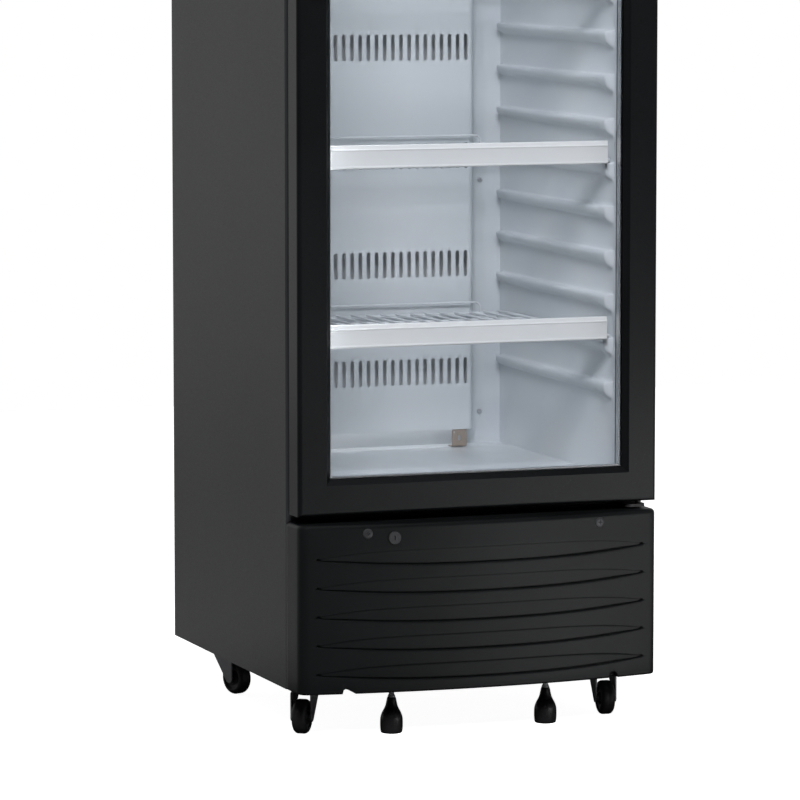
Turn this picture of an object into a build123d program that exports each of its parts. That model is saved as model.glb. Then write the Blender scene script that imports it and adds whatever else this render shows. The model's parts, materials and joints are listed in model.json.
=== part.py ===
from build123d import *
import math
import os

# Upright refrigerated merchandiser with one glass door, on swivel casters.
# Millimetres. X runs to the right, Y to the back, Z up. The origin is on the floor, under the
# middle of the whole object. "Front plane" is the face that the door gasket closes on. CUT is how
# far a cutting body runs past a face, and how far a joined body laps into its neighbour.

# ------------------------------------------------------------------ cabinet
CABINET_WIDTH = 550.0
CABINET_DEPTH = 527.0
CABINET_HEIGHT = 1760.0
CASTER_HEIGHT = 70.0
SHEET = 1.0
CUT = 1.0
BEND_RADIUS = 1.8
SHEET_FLANGE = 18.0
SIDE_WALL = 38.0
REAR_WALL = 60.0
FLOOR_WALL = 44.0
ROOF_WALL = 50.0
MACHINE_HEIGHT = 240.0
INTERIOR_HEIGHT = 1276.0
LINER = 2.5
THROAT_DEPTH = 6.0
LIP_HEIGHT = 14.0
LIP_LENGTH = 20.0
LIP_SLOPE = 8.0

# ------------------------------------------------------------------ shelf ribs of the liner
RIB_FIRST = 138.5
RIB_PITCH = 64.0
RIB_COUNT = 17
RIB_REACH = 13.5
RIB_REAR_THICKNESS = 15.0
RIB_FRONT_THICKNESS = 20.0
RIB_FRONT_SETBACK = 19.0
RIB_REAR_SETBACK = 10.0
RIB_STOP_LENGTH = 26.0
RIB_STOP_DROP = 5.0

# ------------------------------------------------------------------ shelves
SHELF_COUNT = 4
SHELF_FIRST_RIB = 1
SHELF_RIB_STEP = 4
SHELF_SIDE_CLEARANCE = 5.0
SHELF_FRONT_SETBACK = 18.0
SHELF_REAR_CLEARANCE = 5.0
FRAME_WIRE = 6.0
SHELF_WIRE = 3.2
CROSS_WIRE = 4.8
WIRE_BITE = 0.6
SHELF_WIRE_PITCH = 24.0
SHELF_CROSS_BARS = 3
SHELF_LIP_HEIGHT = 18.0
SHELF_LIP_INSET = 46.0
SHELF_LIP_BEND = 9.0
STRIP_HEIGHT = 33.5
STRIP_DROP = 1.5
STRIP_WALL = 2.0
STRIP_DEPTH = 10.0
STRIP_STEP = 1.2
STRIP_STEP_HEIGHT = 6.0
STRIP_END_INSET = 9.0

# ------------------------------------------------------------------ air duct, coil and fan inside
DUCT_DEPTH = 38.0
DUCT_WIDTH = 358.0
DUCT_FLANGE = 33.0
DUCT_SHEET = 1.2
DUCT_BOTTOM_GAP = 27.0
DUCT_TOP_GAP = 16.0
SLOT_WIDTH = 6.0
SLOT_HEIGHT = 40.0
SLOT_PITCH = 13.2
SLOTS_PER_ROW = 26
SLOT_ROWS = 6
SLOT_ROW_FIRST = 98.0
SLOT_ROW_PITCH = 165.5
DUCT_SCREW_FIRST = 50.0
DUCT_SCREW_PITCH = 359.0
DUCT_SCREW_ROWS = 4
DUCT_SCREW_EDGE = 9.2
BRACKET_WIDTH = 24.0
BRACKET_INSET = 11.0
BRACKET_SHEET = 1.5
BRACKET_FOOT = 18.0
BRACKET_LAP = 12.0
BRACKET_HOLE_RADIUS = 4.0
EVAPORATOR_WIDTH = 300.0
EVAPORATOR_HEIGHT = 126.0
EVAPORATOR_DEPTH = 30.0
EVAPORATOR_BOTTOM = 980.0
COIL_FIN_PITCH = 12.0
COIL_FIN = 3.0
COIL_TUBE = 8.0
COIL_END_PLATE = 2.0
COIL_TUBE_ROWS = 6
INNER_FAN_SIZE = 112.0
INNER_FAN_DEPTH = 22.0
INNER_FAN_RADIUS = 48.0
INNER_FAN_HEIGHT = 1180.0
INNER_FAN_SETBACK = 2.6
INNER_ROTOR_DEPTH = 13.2
INNER_BLADE_CHORD = 26.0
INNER_BLADE_PITCH = 35.0
INNER_MOTOR_LENGTH = 4.4
FAN_TIP_CLEARANCE = 2.0
FAN_HUB_RADIUS = 17.0
FAN_SHAFT_RADIUS = 2.5
FAN_SHAFT_SETBACK = 2.0
FAN_BLADE = 1.6
FAN_BLADE_COUNT = 5
FAN_BLADE_ROOT = 5.0
RUNNING_CLEARANCE = 0.05
FAN_ARM_ANGLES = [90.0, 210.0, 330.0]
MOTOR_STEP = 1.0
GUARD_BAR = 3.0
GUARD_PITCH = 12.0

# ------------------------------------------------------------------ lamps
LAMP_LENGTH = 400.0
LAMP_WIDTH = 22.0
LAMP_HEIGHT = 10.0
LAMP_DIFFUSER_HEIGHT = 7.0
LAMP_SETBACK = 36.0
LAMP_RIM = 1.0
LAMP_END_CAP = 2.0

# ------------------------------------------------------------------ front covers (grille and header)
COVER_DEPTH = 58.0
COVER_BOW = 27.0
COVER_CORNER = 16.0
GRILLE_HEIGHT = 242.0
GRILLE_WALL = 2.5
GRILLE_EDGE = 6.0
LOUVRE_COUNT = 5
LOUVRE_FIRST = 27.5
LOUVRE_PITCH = 41.2
LOUVRE_HALF_LENGTH = 252.5
LOUVRE_FLAT_HALF = 150.0
LOUVRE_RISE = 12.5
LOUVRE_SAG = 10.0
LOUVRE_RECESS = 1.4
LOUVRE_SLIT = 3.0
NOTCH_OFFSET = 206.0
NOTCH_WIDTH = 14.0
NOTCH_HEIGHT = 8.0
GRILLE_SCREW_OFFSET = 178.0
GRILLE_SCREW_HEIGHT = 229.0
BOSS_RADIUS = 8.0
SEAT_DEPTH = 1.0
SEAT_CUT = 6.0
LOCK_BOSS_WALL = 3.0
LOCK_BOSS_LENGTH = 7.0
HEADER_GAP = 14.0
HEADER_WALL = 3.0
HEADER_EDGE = 3.5
SIGN_FRAME = 16.0
SIGN_THICKNESS = 2.5
SIGN_OVERLAP = 6.0

# ------------------------------------------------------------------ door
DOOR_GAP = 12.0
DOOR_HEIGHT = 1336.0
DOOR_THICKNESS = 39.0
DOOR_FACE = 43.0
DOOR_BEVEL = 8.0
DOOR_BEVEL_DEPTH = 9.0
DOOR_EDGE_RADIUS = 6.0
GLASS_BITE = 10.0
GLASS_THICKNESS = 4.0
GLASS_GAP = 12.0
GLASS_CLEARANCE = 0.5
SPACER_COVER = 1.0
SPACER_WIDTH = 11.0
GASKET_DEPTH = 15.0
GASKET_CLEARANCE = 0.3
GASKET_WIDTH = 16.0
GASKET_INSET_SIDE = 21.0
GASKET_INSET_END = 12.0
GASKET_GROOVE = 4.0
HANDLE_REACH = 33.0
HANDLE_BAR = 10.0
HANDLE_WIDTH = 18.0
HANDLE_LENGTH = 280.0
HANDLE_POST = 26.0
HANDLE_BOTTOM = 746.0
HANDLE_BEND = 15.0
HANDLE_INNER_BEND = 7.5
HANDLE_EDGE = 3.5

# ------------------------------------------------------------------ hinge
HINGE_INSET = 20.0
HINGE_FORWARD = 34.0
HINGE_PIN_RADIUS = 4.0
HINGE_PIN_LENGTH = 14.0
HINGE_PLATE = 4.0
HINGE_PLATE_WIDTH = 32.0
HINGE_PLATE_MARGIN = 9.0
HINGE_PLATE_CORNER = 8.0
HINGE_DOOR_GAP = 5.5
HINGE_FLANGE = 3.0
HINGE_FLANGE_HEIGHT = 17.0

# ------------------------------------------------------------------ lock
LOCK_OFFSET = -139.0
LOCK_HEIGHT = 222.0
LOCK_FACE_RADIUS = 9.5
LOCK_FACE = 3.0
LOCK_FACE_EDGE = 1.0
LOCK_BARREL_RADIUS = 8.0
LOCK_PLUG_RADIUS = 5.5
LOCK_BARREL_LENGTH = 33.0
LOCK_CAM = 2.5
LOCK_CAM_WIDTH = 12.0
LOCK_CAM_REACH = 44.0
LOCK_CAM_SQUARE = 7.0
LOCK_PLAY = 0.3
LOCK_SLOT_CLEARANCE = 1.8
LOCK_SLOT_DEPTH = 10.0
KEYWAY_WIDTH = 1.6
KEYWAY_HEIGHT = 7.0
KEYWAY_DEPTH = 8.0

# ------------------------------------------------------------------ base frame and feet
PAN_SHEET = 1.5
PAN_EDGE = 25.0
PAN_TONGUE = 24.0
PAN_TONGUE_HALF = 240.0
FRONT_RAIL = 2.0
FRONT_RAIL_HEIGHT = 36.0
FRONT_POST = 32.0
REAR_COVER_INSET = 12.0
REAR_COVER_FLANGE = 15.0
VENT_COUNT = 9
VENT_PITCH = 18.0
VENT_HEIGHT = 6.0
VENT_LENGTH = 400.0
VENT_FIRST = 55.0
FOOT_OFFSET = 119.5
FOOT_FORWARD = 12.0
FOOT_STEM_RADIUS = 4.0
FOOT_STEM_BOTTOM = 2.0
FOOT_STEM_TOP = 100.0
FOOT_NUT_HEIGHT = 8.0
FOOT_NUT_ACROSS = 16.0
FOOT_BELL = [(13.5, 0.0), (15.5, 3.0), (16.4, 12.0), (16.2, 20.0), (12.4, 30.0), (8.4, 40.0), (5.6, 52.0)]
FOOT_COLLAR_HEIGHT = 4.0

# ------------------------------------------------------------------ casters
CASTER_SIDE_INSET = 44.0
CASTER_FRONT_INSET = 42.0
CASTER_REAR_INSET = 130.0
CASTER_ANGLES = {"front_left": -35.0, "front_right": -8.0, "rear_left": 20.0, "rear_right": -14.0}
CASTER_TRAIL = 20.0
CASTER_PLATE = 2.5
CASTER_PLATE_SIZE = 48.0
CASTER_PLATE_CORNER = 6.0
CASTER_HOLE_PITCH = 34.0
CASTER_CUP_RADIUS = 16.0
CASTER_CUP_HEIGHT = 5.5
CASTER_CUP_EDGE = 1.5
FORK_PLAY = 0.3
FORK_SHEET = 2.0
FORK_FRONT = 27.0
FORK_BACK = 16.0
FORK_LEG_GAP = 23.5
FORK_AXLE_MARGIN = 7.0
KINGPIN_RADIUS = 4.0
KINGPIN_HEAD_RADIUS = 7.0
KINGPIN_HEAD = 1.8
WHEEL_RADIUS = 25.0
WHEEL_WIDTH = 21.0
WHEEL_SHOULDER = 6.5
WHEEL_RECESS = 2.5
WHEEL_RECESS_INNER = 8.0
WHEEL_RECESS_OUTER = 17.0
AXLE_RADIUS = 3.0
AXLE_HEAD_RADIUS = 5.0
AXLE_HEAD = 1.6
BOLT_RADIUS = 3.0
BOLT_HEAD_ACROSS = 10.0
BOLT_HEAD = 4.0
BOLT_LENGTH = 9.0
BOLT_CLEARANCE = 0.3

# ------------------------------------------------------------------ machine compartment
CONDENSER_WIDTH = 300.0
CONDENSER_HEIGHT = 170.0
CONDENSER_DEPTH = 44.0
CONDENSER_SETBACK = 26.0
CONDENSER_RAISE = 12.0
SHROUD_SHEET = 1.5
SHROUD_DEPTH = 14.0
OUTER_FAN_RADIUS = 74.0
OUTER_ROTOR_DEPTH = 11.2
OUTER_BLADE_CHORD = 40.0
OUTER_BLADE_PITCH = 30.0
OUTER_FAN_GAP = 6.0
MOTOR_RADIUS = 34.0
MOTOR_LENGTH = 46.0
MOTOR_ARM = 12.0
MOTOR_ARM_SHEET = 3.0
MOTOR_ARM_BITE = 4.0
COMPRESSOR_OFFSET = 110.0
COMPRESSOR_SETBACK = 350.0
COMPRESSOR_RADIUS = 72.0
COMPRESSOR_HEIGHT = 150.0
COMPRESSOR_FOOT_WIDTH = 170.0
COMPRESSOR_FOOT_DEPTH = 119.0
COMPRESSOR_PLATE = 3.0
COMPRESSOR_DOME = 40.0
SEAM_REACH = 3.0
SEAM_HEIGHT = 70.0
SEAM_BAND = 6.0
STUB_RADIUS = 4.0
STUB_LENGTH = 22.0
STUB_SPREAD = 18.0
STUB_HEIGHT = 50.0
TERMINAL_WIDTH = 56.0
TERMINAL_BITE = 22.0
TERMINAL_REACH = 16.0
TERMINAL_BOTTOM = 20.0
TERMINAL_HEIGHT = 46.0
COMPRESSOR_RAISE = 14.0
GROMMET_RADIUS = 10.0
GROMMET_INSET = 12.0
DRAIN_PAN_WIDTH = 200.0
DRAIN_PAN_DEPTH = 200.0
DRAIN_PAN_HEIGHT = 40.0
DRAIN_PAN_WALL = 2.0
DRAIN_PAN_OFFSET = -110.0
DRAIN_FOOT_INSET = 12.0
DRAIN_FOOT_WIDTH = 12.0
DRAIN_FOOT_SETBACK = 30.0
CONTROL_BOX_WIDTH = 90.0
CONTROL_BOX_DEPTH = 60.0
CONTROL_BOX_HEIGHT = 100.0
CONTROL_BOX_OFFSET = 205.0
CONTROL_BOX_SETBACK = 70.0
CONTROL_BOX_RAISE = 20.0
CONTROL_BOX_EDGE = 4.0
GLAND_OFFSET = 200.0
GLAND_HEIGHT = 40.0
GLAND_RADIUS = 8.0
GLAND_FLANGE_RADIUS = 13.0
GLAND_FLANGE = 4.0
GLAND_BORE = 4.0
GLAND_GRIP = 2.0
GLAND_LIP = 1.5
GLAND_EDGE = 1.3

# ------------------------------------------------------------------ screws
SCREW_RADIUS = 2.0
SCREW_HEAD_RADIUS = 4.2
SCREW_HEAD = 2.2
GRILLE_SCREW_HEAD_RADIUS = 5.5
SCREW_CLEARANCE = 0.2
SCREW_DOME = 1.3
SCREW_TAIL = 2.0
REAR_SCREW_OFFSETS = [80.0, 230.0]

# ------------------------------------------------------------------ derived places
DOOR_BACK = GASKET_DEPTH
DOOR_FRONT = DOOR_BACK + DOOR_THICKNESS
FRONT_REACH = max(COVER_DEPTH + COVER_BOW, DOOR_FRONT + HANDLE_REACH)
Y_FRONT = (FRONT_REACH - CABINET_DEPTH) / 2
Y_BACK = Y_FRONT + CABINET_DEPTH
Y_REAR_INNER = Y_BACK - REAR_WALL
Y_DOOR_FRONT = Y_FRONT - DOOR_FRONT
Y_DOOR_BACK = Y_FRONT - DOOR_BACK
X_SIDE = CABINET_WIDTH / 2
X_INNER = X_SIDE - SIDE_WALL
Z_BOTTOM = CASTER_HEIGHT
Z_TOP = Z_BOTTOM + CABINET_HEIGHT
Z_MACHINE_TOP = Z_BOTTOM + MACHINE_HEIGHT
Z_FLOOR = Z_MACHINE_TOP + FLOOR_WALL
Z_CEILING = Z_FLOOR + INTERIOR_HEIGHT
Z_ROOF = Z_CEILING + ROOF_WALL
Z_GRILLE_TOP = Z_BOTTOM + GRILLE_HEIGHT
Z_DOOR = Z_GRILLE_TOP + DOOR_GAP
Z_DOOR_TOP = Z_DOOR + DOOR_HEIGHT
Z_HEADER = Z_DOOR_TOP + HEADER_GAP
Y_DUCT = Y_REAR_INNER - DUCT_DEPTH
Z_DUCT = Z_FLOOR + DUCT_BOTTOM_GAP
Z_DUCT_TOP = Z_CEILING - DUCT_TOP_GAP
DOOR_RAIL = DOOR_FACE + DOOR_BEVEL
Y_REAR_COVER = Y_BACK - REAR_COVER_INSET
Y_AHEAD = Y_FRONT - COVER_DEPTH - COVER_BOW - CUT
HINGE_X = X_SIDE - HINGE_INSET
HINGE_Y = Y_FRONT - HINGE_FORWARD
SHELF_HALF = X_INNER - SHELF_SIDE_CLEARANCE
Y_SHELF_FRONT = Y_FRONT + SHELF_FRONT_SETBACK
Y_SHELF_REAR = Y_DUCT - SHELF_REAR_CLEARANCE


def block(x0, x1, y0, y1, z0, z1):
    """Box between two corners."""
    centre = Pos((x0 + x1) / 2, (y0 + y1) / 2, (z0 + z1) / 2)
    return centre * Box(abs(x1 - x0), abs(y1 - y0), abs(z1 - z0))


def rod_x(radius, x0, x1, y, z):
    """Cylinder along X."""
    return Pos((x0 + x1) / 2, y, z) * Rot(0, 90, 0) * Cylinder(radius, abs(x1 - x0))


def rod_y(radius, x, y0, y1, z):
    """Cylinder along Y."""
    return Pos(x, (y0 + y1) / 2, z) * Rot(90, 0, 0) * Cylinder(radius, abs(y1 - y0))


def rod_z(radius, x, y, z0, z1):
    """Cylinder along Z."""
    return Pos(x, y, (z0 + z1) / 2) * Cylinder(radius, abs(z1 - z0))


def prism_y(points, y0, y1):
    """Straight-sided outline in X and Z, drawn out along Y."""
    face = make_face(Polyline(*[(x, y0, z) for x, z in points], close=True))
    return extrude(face, amount=abs(y1 - y0), dir=(0, 1, 0))


def prism_x(points, x0, x1):
    """Straight-sided outline in Y and Z, drawn out along X."""
    face = make_face(Polyline(*[(x0, y, z) for y, z in points], close=True))
    return extrude(face, amount=abs(x1 - x0), dir=(1, 0, 0))


def ring(x_half, z0, z1, width, y0, y1):
    """Rectangular frame that faces the front."""
    outer = block(-x_half, x_half, y0, y1, z0, z1)
    inner = block(-x_half + width, x_half - width, y0 - CUT, y1 + CUT, z0 + width, z1 - width)
    return outer - inner


def hexagon_z(across, x, y, z0, z1):
    """Hexagonal bar along Z."""
    face = Pos(x, y, z0) * RegularPolygon(across / 2, 6, major_radius=False)
    return extrude(face, amount=z1 - z0, dir=(0, 0, 1))


def screw_y(x, y, z, length, head_radius=SCREW_HEAD_RADIUS, towards=1):
    """Domed screw whose head bears at y and whose shank runs to the back (1) or front (-1)."""
    head = rod_y(head_radius, x, y - towards * SCREW_HEAD, y, z)
    rim = head.faces().sort_by(Axis.Y)[0 if towards > 0 else -1].edges()
    head = fillet(rim, SCREW_DOME)
    shank = rod_y(SCREW_RADIUS, x, y, y + towards * length, z)
    return head + shank


# ------------------------------------------------------------------ shell
def side_panel(side):
    x_out = side * X_SIDE
    x_in = side * (X_SIDE - SHEET_FLANGE)
    panel = block(x_in, x_out, Y_FRONT, Y_BACK, Z_BOTTOM, Z_TOP)
    corners = panel.edges().filter_by(Axis.Z).group_by(Axis.X)[-1 if side > 0 else 0]
    panel = fillet(corners, BEND_RADIUS)
    hollow_x = side * (X_SIDE - SHEET)
    return panel - block(x_in - side, hollow_x, Y_FRONT + SHEET, Y_BACK - SHEET, Z_BOTTOM - CUT, Z_TOP + CUT)


def back_panel():
    half = X_SIDE - SHEET
    return block(-half, half, Y_BACK - 2 * SHEET, Y_BACK - SHEET, Z_MACHINE_TOP, Z_TOP)


def top_panel():
    half = X_SIDE - SHEET
    y0 = Y_FRONT + SHEET
    y1 = Y_BACK - 2 * SHEET
    tray = block(-half, half, y0, y1, Z_TOP - SHEET_FLANGE, Z_TOP)
    hollow = block(-half + SHEET, half - SHEET, y0 + SHEET, y1 - SHEET,
                   Z_TOP - SHEET_FLANGE - CUT, Z_TOP - SHEET)
    return tray - hollow


def insulation():
    half = X_SIDE - SHEET
    foam = block(-half, half, Y_FRONT + THROAT_DEPTH, Y_BACK - 2 * SHEET, Z_MACHINE_TOP, Z_ROOF)
    liner_half = X_INNER + LINER
    room = block(-liner_half, liner_half, Y_FRONT, Y_REAR_INNER + LINER, Z_FLOOR - LINER, Z_CEILING + LINER)
    return foam - room


def throat_frame():
    outer_half = X_SIDE - SHEET_FLANGE
    y1 = Y_FRONT + THROAT_DEPTH
    frame = block(-outer_half, outer_half, Y_FRONT, y1, Z_MACHINE_TOP, Z_ROOF)
    return frame - block(-X_INNER, X_INNER, Y_FRONT - CUT, y1 + CUT, Z_FLOOR + LIP_HEIGHT, Z_CEILING)


# ------------------------------------------------------------------ liner
def rib(side, z_top):
    """Shelf rib: flat on top, deeper at its front stop."""
    y0 = Y_FRONT + RIB_FRONT_SETBACK
    y_stop = y0 + RIB_STOP_LENGTH
    y1 = Y_REAR_INNER - RIB_REAR_SETBACK
    stop_bottom = z_top - RIB_FRONT_THICKNESS - RIB_STOP_DROP
    outline = [
        (y0, z_top),
        (y1, z_top),
        (y1, z_top - RIB_REAR_THICKNESS),
        (y_stop, z_top - RIB_FRONT_THICKNESS),
        (y_stop - RIB_STOP_DROP, stop_bottom),
        (y0, stop_bottom),
    ]
    x_root = side * (X_INNER + LINER / 2)
    x_tip = side * (X_INNER - RIB_REACH)
    body = prism_x(outline, min(x_root, x_tip), max(x_root, x_tip))
    front = body.faces().sort_by(Axis.Y)[0]
    return fillet(front.edges().filter_by(Axis.X), RIB_STOP_DROP)


def liner_side(side):
    y0 = Y_FRONT + THROAT_DEPTH
    x_in = side * X_INNER
    x_out = side * (X_INNER + LINER)
    wall = block(x_in, x_out, y0, Y_REAR_INNER + LINER, Z_FLOOR - LINER, Z_CEILING + LINER)
    ribs = [rib(side, Z_FLOOR + RIB_FIRST + i * RIB_PITCH) for i in range(RIB_COUNT)]
    return wall + ribs


def liner_rear():
    wall = block(-X_INNER, X_INNER, Y_REAR_INNER, Y_REAR_INNER + LINER, Z_FLOOR, Z_CEILING)
    return wall - duct_screw_holes()


def liner_floor():
    y0 = Y_FRONT + THROAT_DEPTH
    floor = block(-X_INNER, X_INNER, y0, Y_REAR_INNER + LINER, Z_FLOOR - LINER, Z_FLOOR)
    outline = [
        (y0, Z_FLOOR - LINER),
        (y0, Z_FLOOR + LIP_HEIGHT),
        (y0 + LIP_LENGTH - LIP_SLOPE, Z_FLOOR + LIP_HEIGHT),
        (y0 + LIP_LENGTH, Z_FLOOR - LINER),
    ]
    return floor + prism_x(outline, -X_INNER, X_INNER)


def liner_ceiling():
    y0 = Y_FRONT + THROAT_DEPTH
    return block(-X_INNER, X_INNER, y0, Y_REAR_INNER + LINER, Z_CEILING, Z_CEILING + LINER)


# ------------------------------------------------------------------ air duct
def duct_screw_places():
    x = DUCT_WIDTH / 2 + DUCT_FLANGE - DUCT_SCREW_EDGE
    rows = [Z_FLOOR + DUCT_SCREW_FIRST + i * DUCT_SCREW_PITCH for i in range(DUCT_SCREW_ROWS)]
    return [(side * x, z) for side in (-1, 1) for z in rows]


def duct_screw_holes():
    radius = SCREW_RADIUS + SCREW_CLEARANCE
    y0 = Y_REAR_INNER - DUCT_SHEET - CUT
    return [rod_y(radius, x, y0, Y_REAR_INNER + LINER + CUT, z) for x, z in duct_screw_places()]


def duct_slots():
    cutters = []
    first = -(SLOTS_PER_ROW - 1) * SLOT_PITCH / 2
    for row in range(SLOT_ROWS):
        z0 = Z_FLOOR + SLOT_ROW_FIRST + row * SLOT_ROW_PITCH
        for i in range(SLOTS_PER_ROW):
            x = first + i * SLOT_PITCH
            cutters.append(block(x - SLOT_WIDTH / 2, x + SLOT_WIDTH / 2, Y_DUCT - CUT,
                                 Y_DUCT + DUCT_SHEET + CUT, z0, z0 + SLOT_HEIGHT))
    return cutters


def fan_guard_opening():
    """Round air inlet, crossed by guard bars."""
    z = Z_FLOOR + INNER_FAN_HEIGHT
    y0 = Y_DUCT - CUT
    y1 = Y_DUCT + DUCT_SHEET + CUT
    opening = rod_y(INNER_FAN_RADIUS, 0, y0, y1, z)
    count = int(INNER_FAN_RADIUS / GUARD_PITCH)
    bars = []
    for i in range(-count, count + 1):
        bar_z = z + i * GUARD_PITCH
        bars.append(block(-INNER_FAN_RADIUS, INNER_FAN_RADIUS, y0, y1,
                          bar_z - GUARD_BAR / 2, bar_z + GUARD_BAR / 2))
    return opening - bars


def air_duct_panel():
    half = DUCT_WIDTH / 2
    box = block(-half, half, Y_DUCT, Y_REAR_INNER, Z_DUCT, Z_DUCT_TOP)
    hollow = block(-half + DUCT_SHEET, half - DUCT_SHEET, Y_DUCT + DUCT_SHEET, Y_REAR_INNER + CUT,
                   Z_DUCT - CUT, Z_DUCT_TOP - DUCT_SHEET)
    panel = box - hollow
    for side in (-1, 1):
        x0 = side * (half - DUCT_SHEET)
        x1 = side * (half + DUCT_FLANGE)
        panel += block(x0, x1, Y_REAR_INNER - DUCT_SHEET, Y_REAR_INNER, Z_DUCT, Z_DUCT_TOP)
    panel -= duct_slots()
    panel -= fan_guard_opening()
    return panel - duct_screw_holes()


def duct_brackets():
    """Angle that carries each lower corner of the duct on the floor."""
    pieces = []
    for side in (-1, 1):
        x0 = side * (DUCT_WIDTH / 2 - BRACKET_INSET)
        x1 = x0 - side * BRACKET_WIDTH
        y0 = Y_DUCT + DUCT_SHEET
        upright = block(x0, x1, y0, y0 + BRACKET_SHEET, Z_FLOOR, Z_DUCT + BRACKET_LAP)
        foot = block(x0, x1, y0, y0 + BRACKET_FOOT, Z_FLOOR, Z_FLOOR + BRACKET_SHEET)
        hole = rod_y(BRACKET_HOLE_RADIUS, (x0 + x1) / 2, y0 - CUT, y0 + BRACKET_SHEET + CUT,
                     (Z_FLOOR + Z_DUCT) / 2)
        pieces.append(upright + foot - hole)
    return pieces


def finned_coil(width, depth, height):
    """Fin block between two end plates, with return bends; centred in X and Y, standing on Z 0."""
    core_half = width / 2
    core = block(-core_half, core_half, -depth / 2 + COIL_FIN, depth / 2 - COIL_FIN, 0, height)
    fins = int((width - COIL_FIN) / COIL_FIN_PITCH)
    first = -(fins - 1) * COIL_FIN_PITCH / 2
    parts = []
    for i in range(fins):
        x = first + i * COIL_FIN_PITCH
        parts.append(block(x - COIL_FIN / 2, x + COIL_FIN / 2, -depth / 2, depth / 2, 0, height))
    for side in (-1, 1):
        x = side * core_half
        parts.append(block(x - side * COIL_END_PLATE, x, -depth / 2, depth / 2, 0, height))
    pitch = height / COIL_TUBE_ROWS
    for side in (-1, 1):
        for row in range(COIL_TUBE_ROWS // 2):
            z = pitch * (2 * row + 1)
            bend = Pos(side * core_half, 0, z) * Rot(90, 0, 0) * Torus(pitch / 2, COIL_TUBE / 2)
            keep = block(side * (core_half - CUT), side * (core_half + pitch), -depth, depth,
                         z - pitch, z + pitch)
            parts.append(bend & keep)
    return core + parts


def evaporator_coil():
    y = Y_REAR_INNER - EVAPORATOR_DEPTH / 2
    coil = finned_coil(EVAPORATOR_WIDTH, EVAPORATOR_DEPTH, EVAPORATOR_HEIGHT)
    return Pos(0, y, Z_FLOOR + EVAPORATOR_BOTTOM) * coil


def fan_blades(radius, depth, chord, pitch_angle):
    """Hub and blades about the Y axis, centred on the origin."""
    root = FAN_HUB_RADIUS - FAN_BLADE_ROOT
    blades = []
    for i in range(FAN_BLADE_COUNT):
        blade = Rot(pitch_angle, 0, 0) * Box(radius - root, FAN_BLADE, chord)
        blade = Pos((radius + root) / 2, 0, 0) * blade
        blades.append(Rot(0, i * 360 / FAN_BLADE_COUNT, 0) * blade)
    rotor = rod_y(FAN_HUB_RADIUS, 0, -depth / 2, depth / 2, 0) + blades
    rotor = rotor & rod_y(radius, 0, -depth / 2, depth / 2, 0)
    return rotor - rod_y(FAN_SHAFT_RADIUS + RUNNING_CLEARANCE, 0, -depth, depth, 0)


def inner_fan_y():
    """Front and back of the fan frame."""
    front = Y_DUCT + DUCT_SHEET
    return front, front + INNER_FAN_DEPTH


def evaporator_fan_frame():
    y0, y1 = inner_fan_y()
    z = Z_FLOOR + INNER_FAN_HEIGHT
    half = INNER_FAN_SIZE / 2
    bore = INNER_FAN_RADIUS + FAN_TIP_CLEARANCE
    frame = block(-half, half, y0, y1, z - half, z + half)
    frame -= rod_y(bore, 0, y0 - CUT, y1 + CUT, z)
    motor_front = y1 - INNER_MOTOR_LENGTH
    frame += rod_y(FAN_HUB_RADIUS, 0, motor_front, y1, z)
    for angle in FAN_ARM_ANGLES:
        arm = block(0, (half + bore) / 2, motor_front + MOTOR_STEP, y1, -GUARD_BAR, GUARD_BAR)
        frame += Pos(0, 0, z) * Rot(0, angle, 0) * arm
    return frame + rod_y(FAN_SHAFT_RADIUS, 0, y0 + FAN_SHAFT_SETBACK, motor_front + CUT, z)


def evaporator_fan_blades():
    y0, _ = inner_fan_y()
    rotor = fan_blades(INNER_FAN_RADIUS, INNER_ROTOR_DEPTH, INNER_BLADE_CHORD, INNER_BLADE_PITCH)
    y = y0 + INNER_FAN_SETBACK + INNER_ROTOR_DEPTH / 2
    return Pos(0, y, Z_FLOOR + INNER_FAN_HEIGHT) * rotor


# ------------------------------------------------------------------ shelves
def shelf_level(index):
    """Height of the rib top that the shelf lies on."""
    return Z_FLOOR + RIB_FIRST + (SHELF_FIRST_RIB + index * SHELF_RIB_STEP) * RIB_PITCH


def wire_shelf(index):
    z_frame = shelf_level(index) + FRAME_WIRE / 2
    r = FRAME_WIRE / 2
    x = SHELF_HALF - r
    y0 = Y_SHELF_FRONT + r
    y1 = Y_SHELF_REAR - r
    shelf = rod_x(r, -x, x, y0, z_frame) + rod_x(r, -x, x, y1, z_frame)
    for side in (-1, 1):
        shelf += rod_y(r, side * x, y0, y1, z_frame)
        for y in (y0, y1):
            shelf += Pos(side * x, y, z_frame) * Sphere(r)
    for i in range(SHELF_CROSS_BARS):
        y = y0 + (i + 1) * (y1 - y0) / (SHELF_CROSS_BARS + 1)
        shelf += rod_x(CROSS_WIRE / 2, -x, x, y, z_frame)
    z_wire = z_frame + (CROSS_WIRE + SHELF_WIRE) / 2 - WIRE_BITE
    count = int(2 * x / SHELF_WIRE_PITCH)
    first = -(count - 1) * SHELF_WIRE_PITCH / 2
    for i in range(count):
        shelf += rod_y(SHELF_WIRE / 2, first + i * SHELF_WIRE_PITCH, y0, y1, z_wire)
    return shelf + shelf_rear_lip(z_frame, y1)


def shelf_rear_lip(z_frame, y):
    """Raised wire along the back edge that keeps bottles off the duct."""
    half = SHELF_HALF - SHELF_LIP_INSET
    top = z_frame + SHELF_LIP_HEIGHT
    corners = [(-half, y, z_frame), (-half, y, top), (half, y, top), (half, y, z_frame)]
    path = FilletPolyline(*corners, radius=SHELF_LIP_BEND)
    section = Plane(origin=path @ 0, z_dir=path % 0) * Circle(SHELF_WIRE / 2)
    return sweep(section, path=path)


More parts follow.
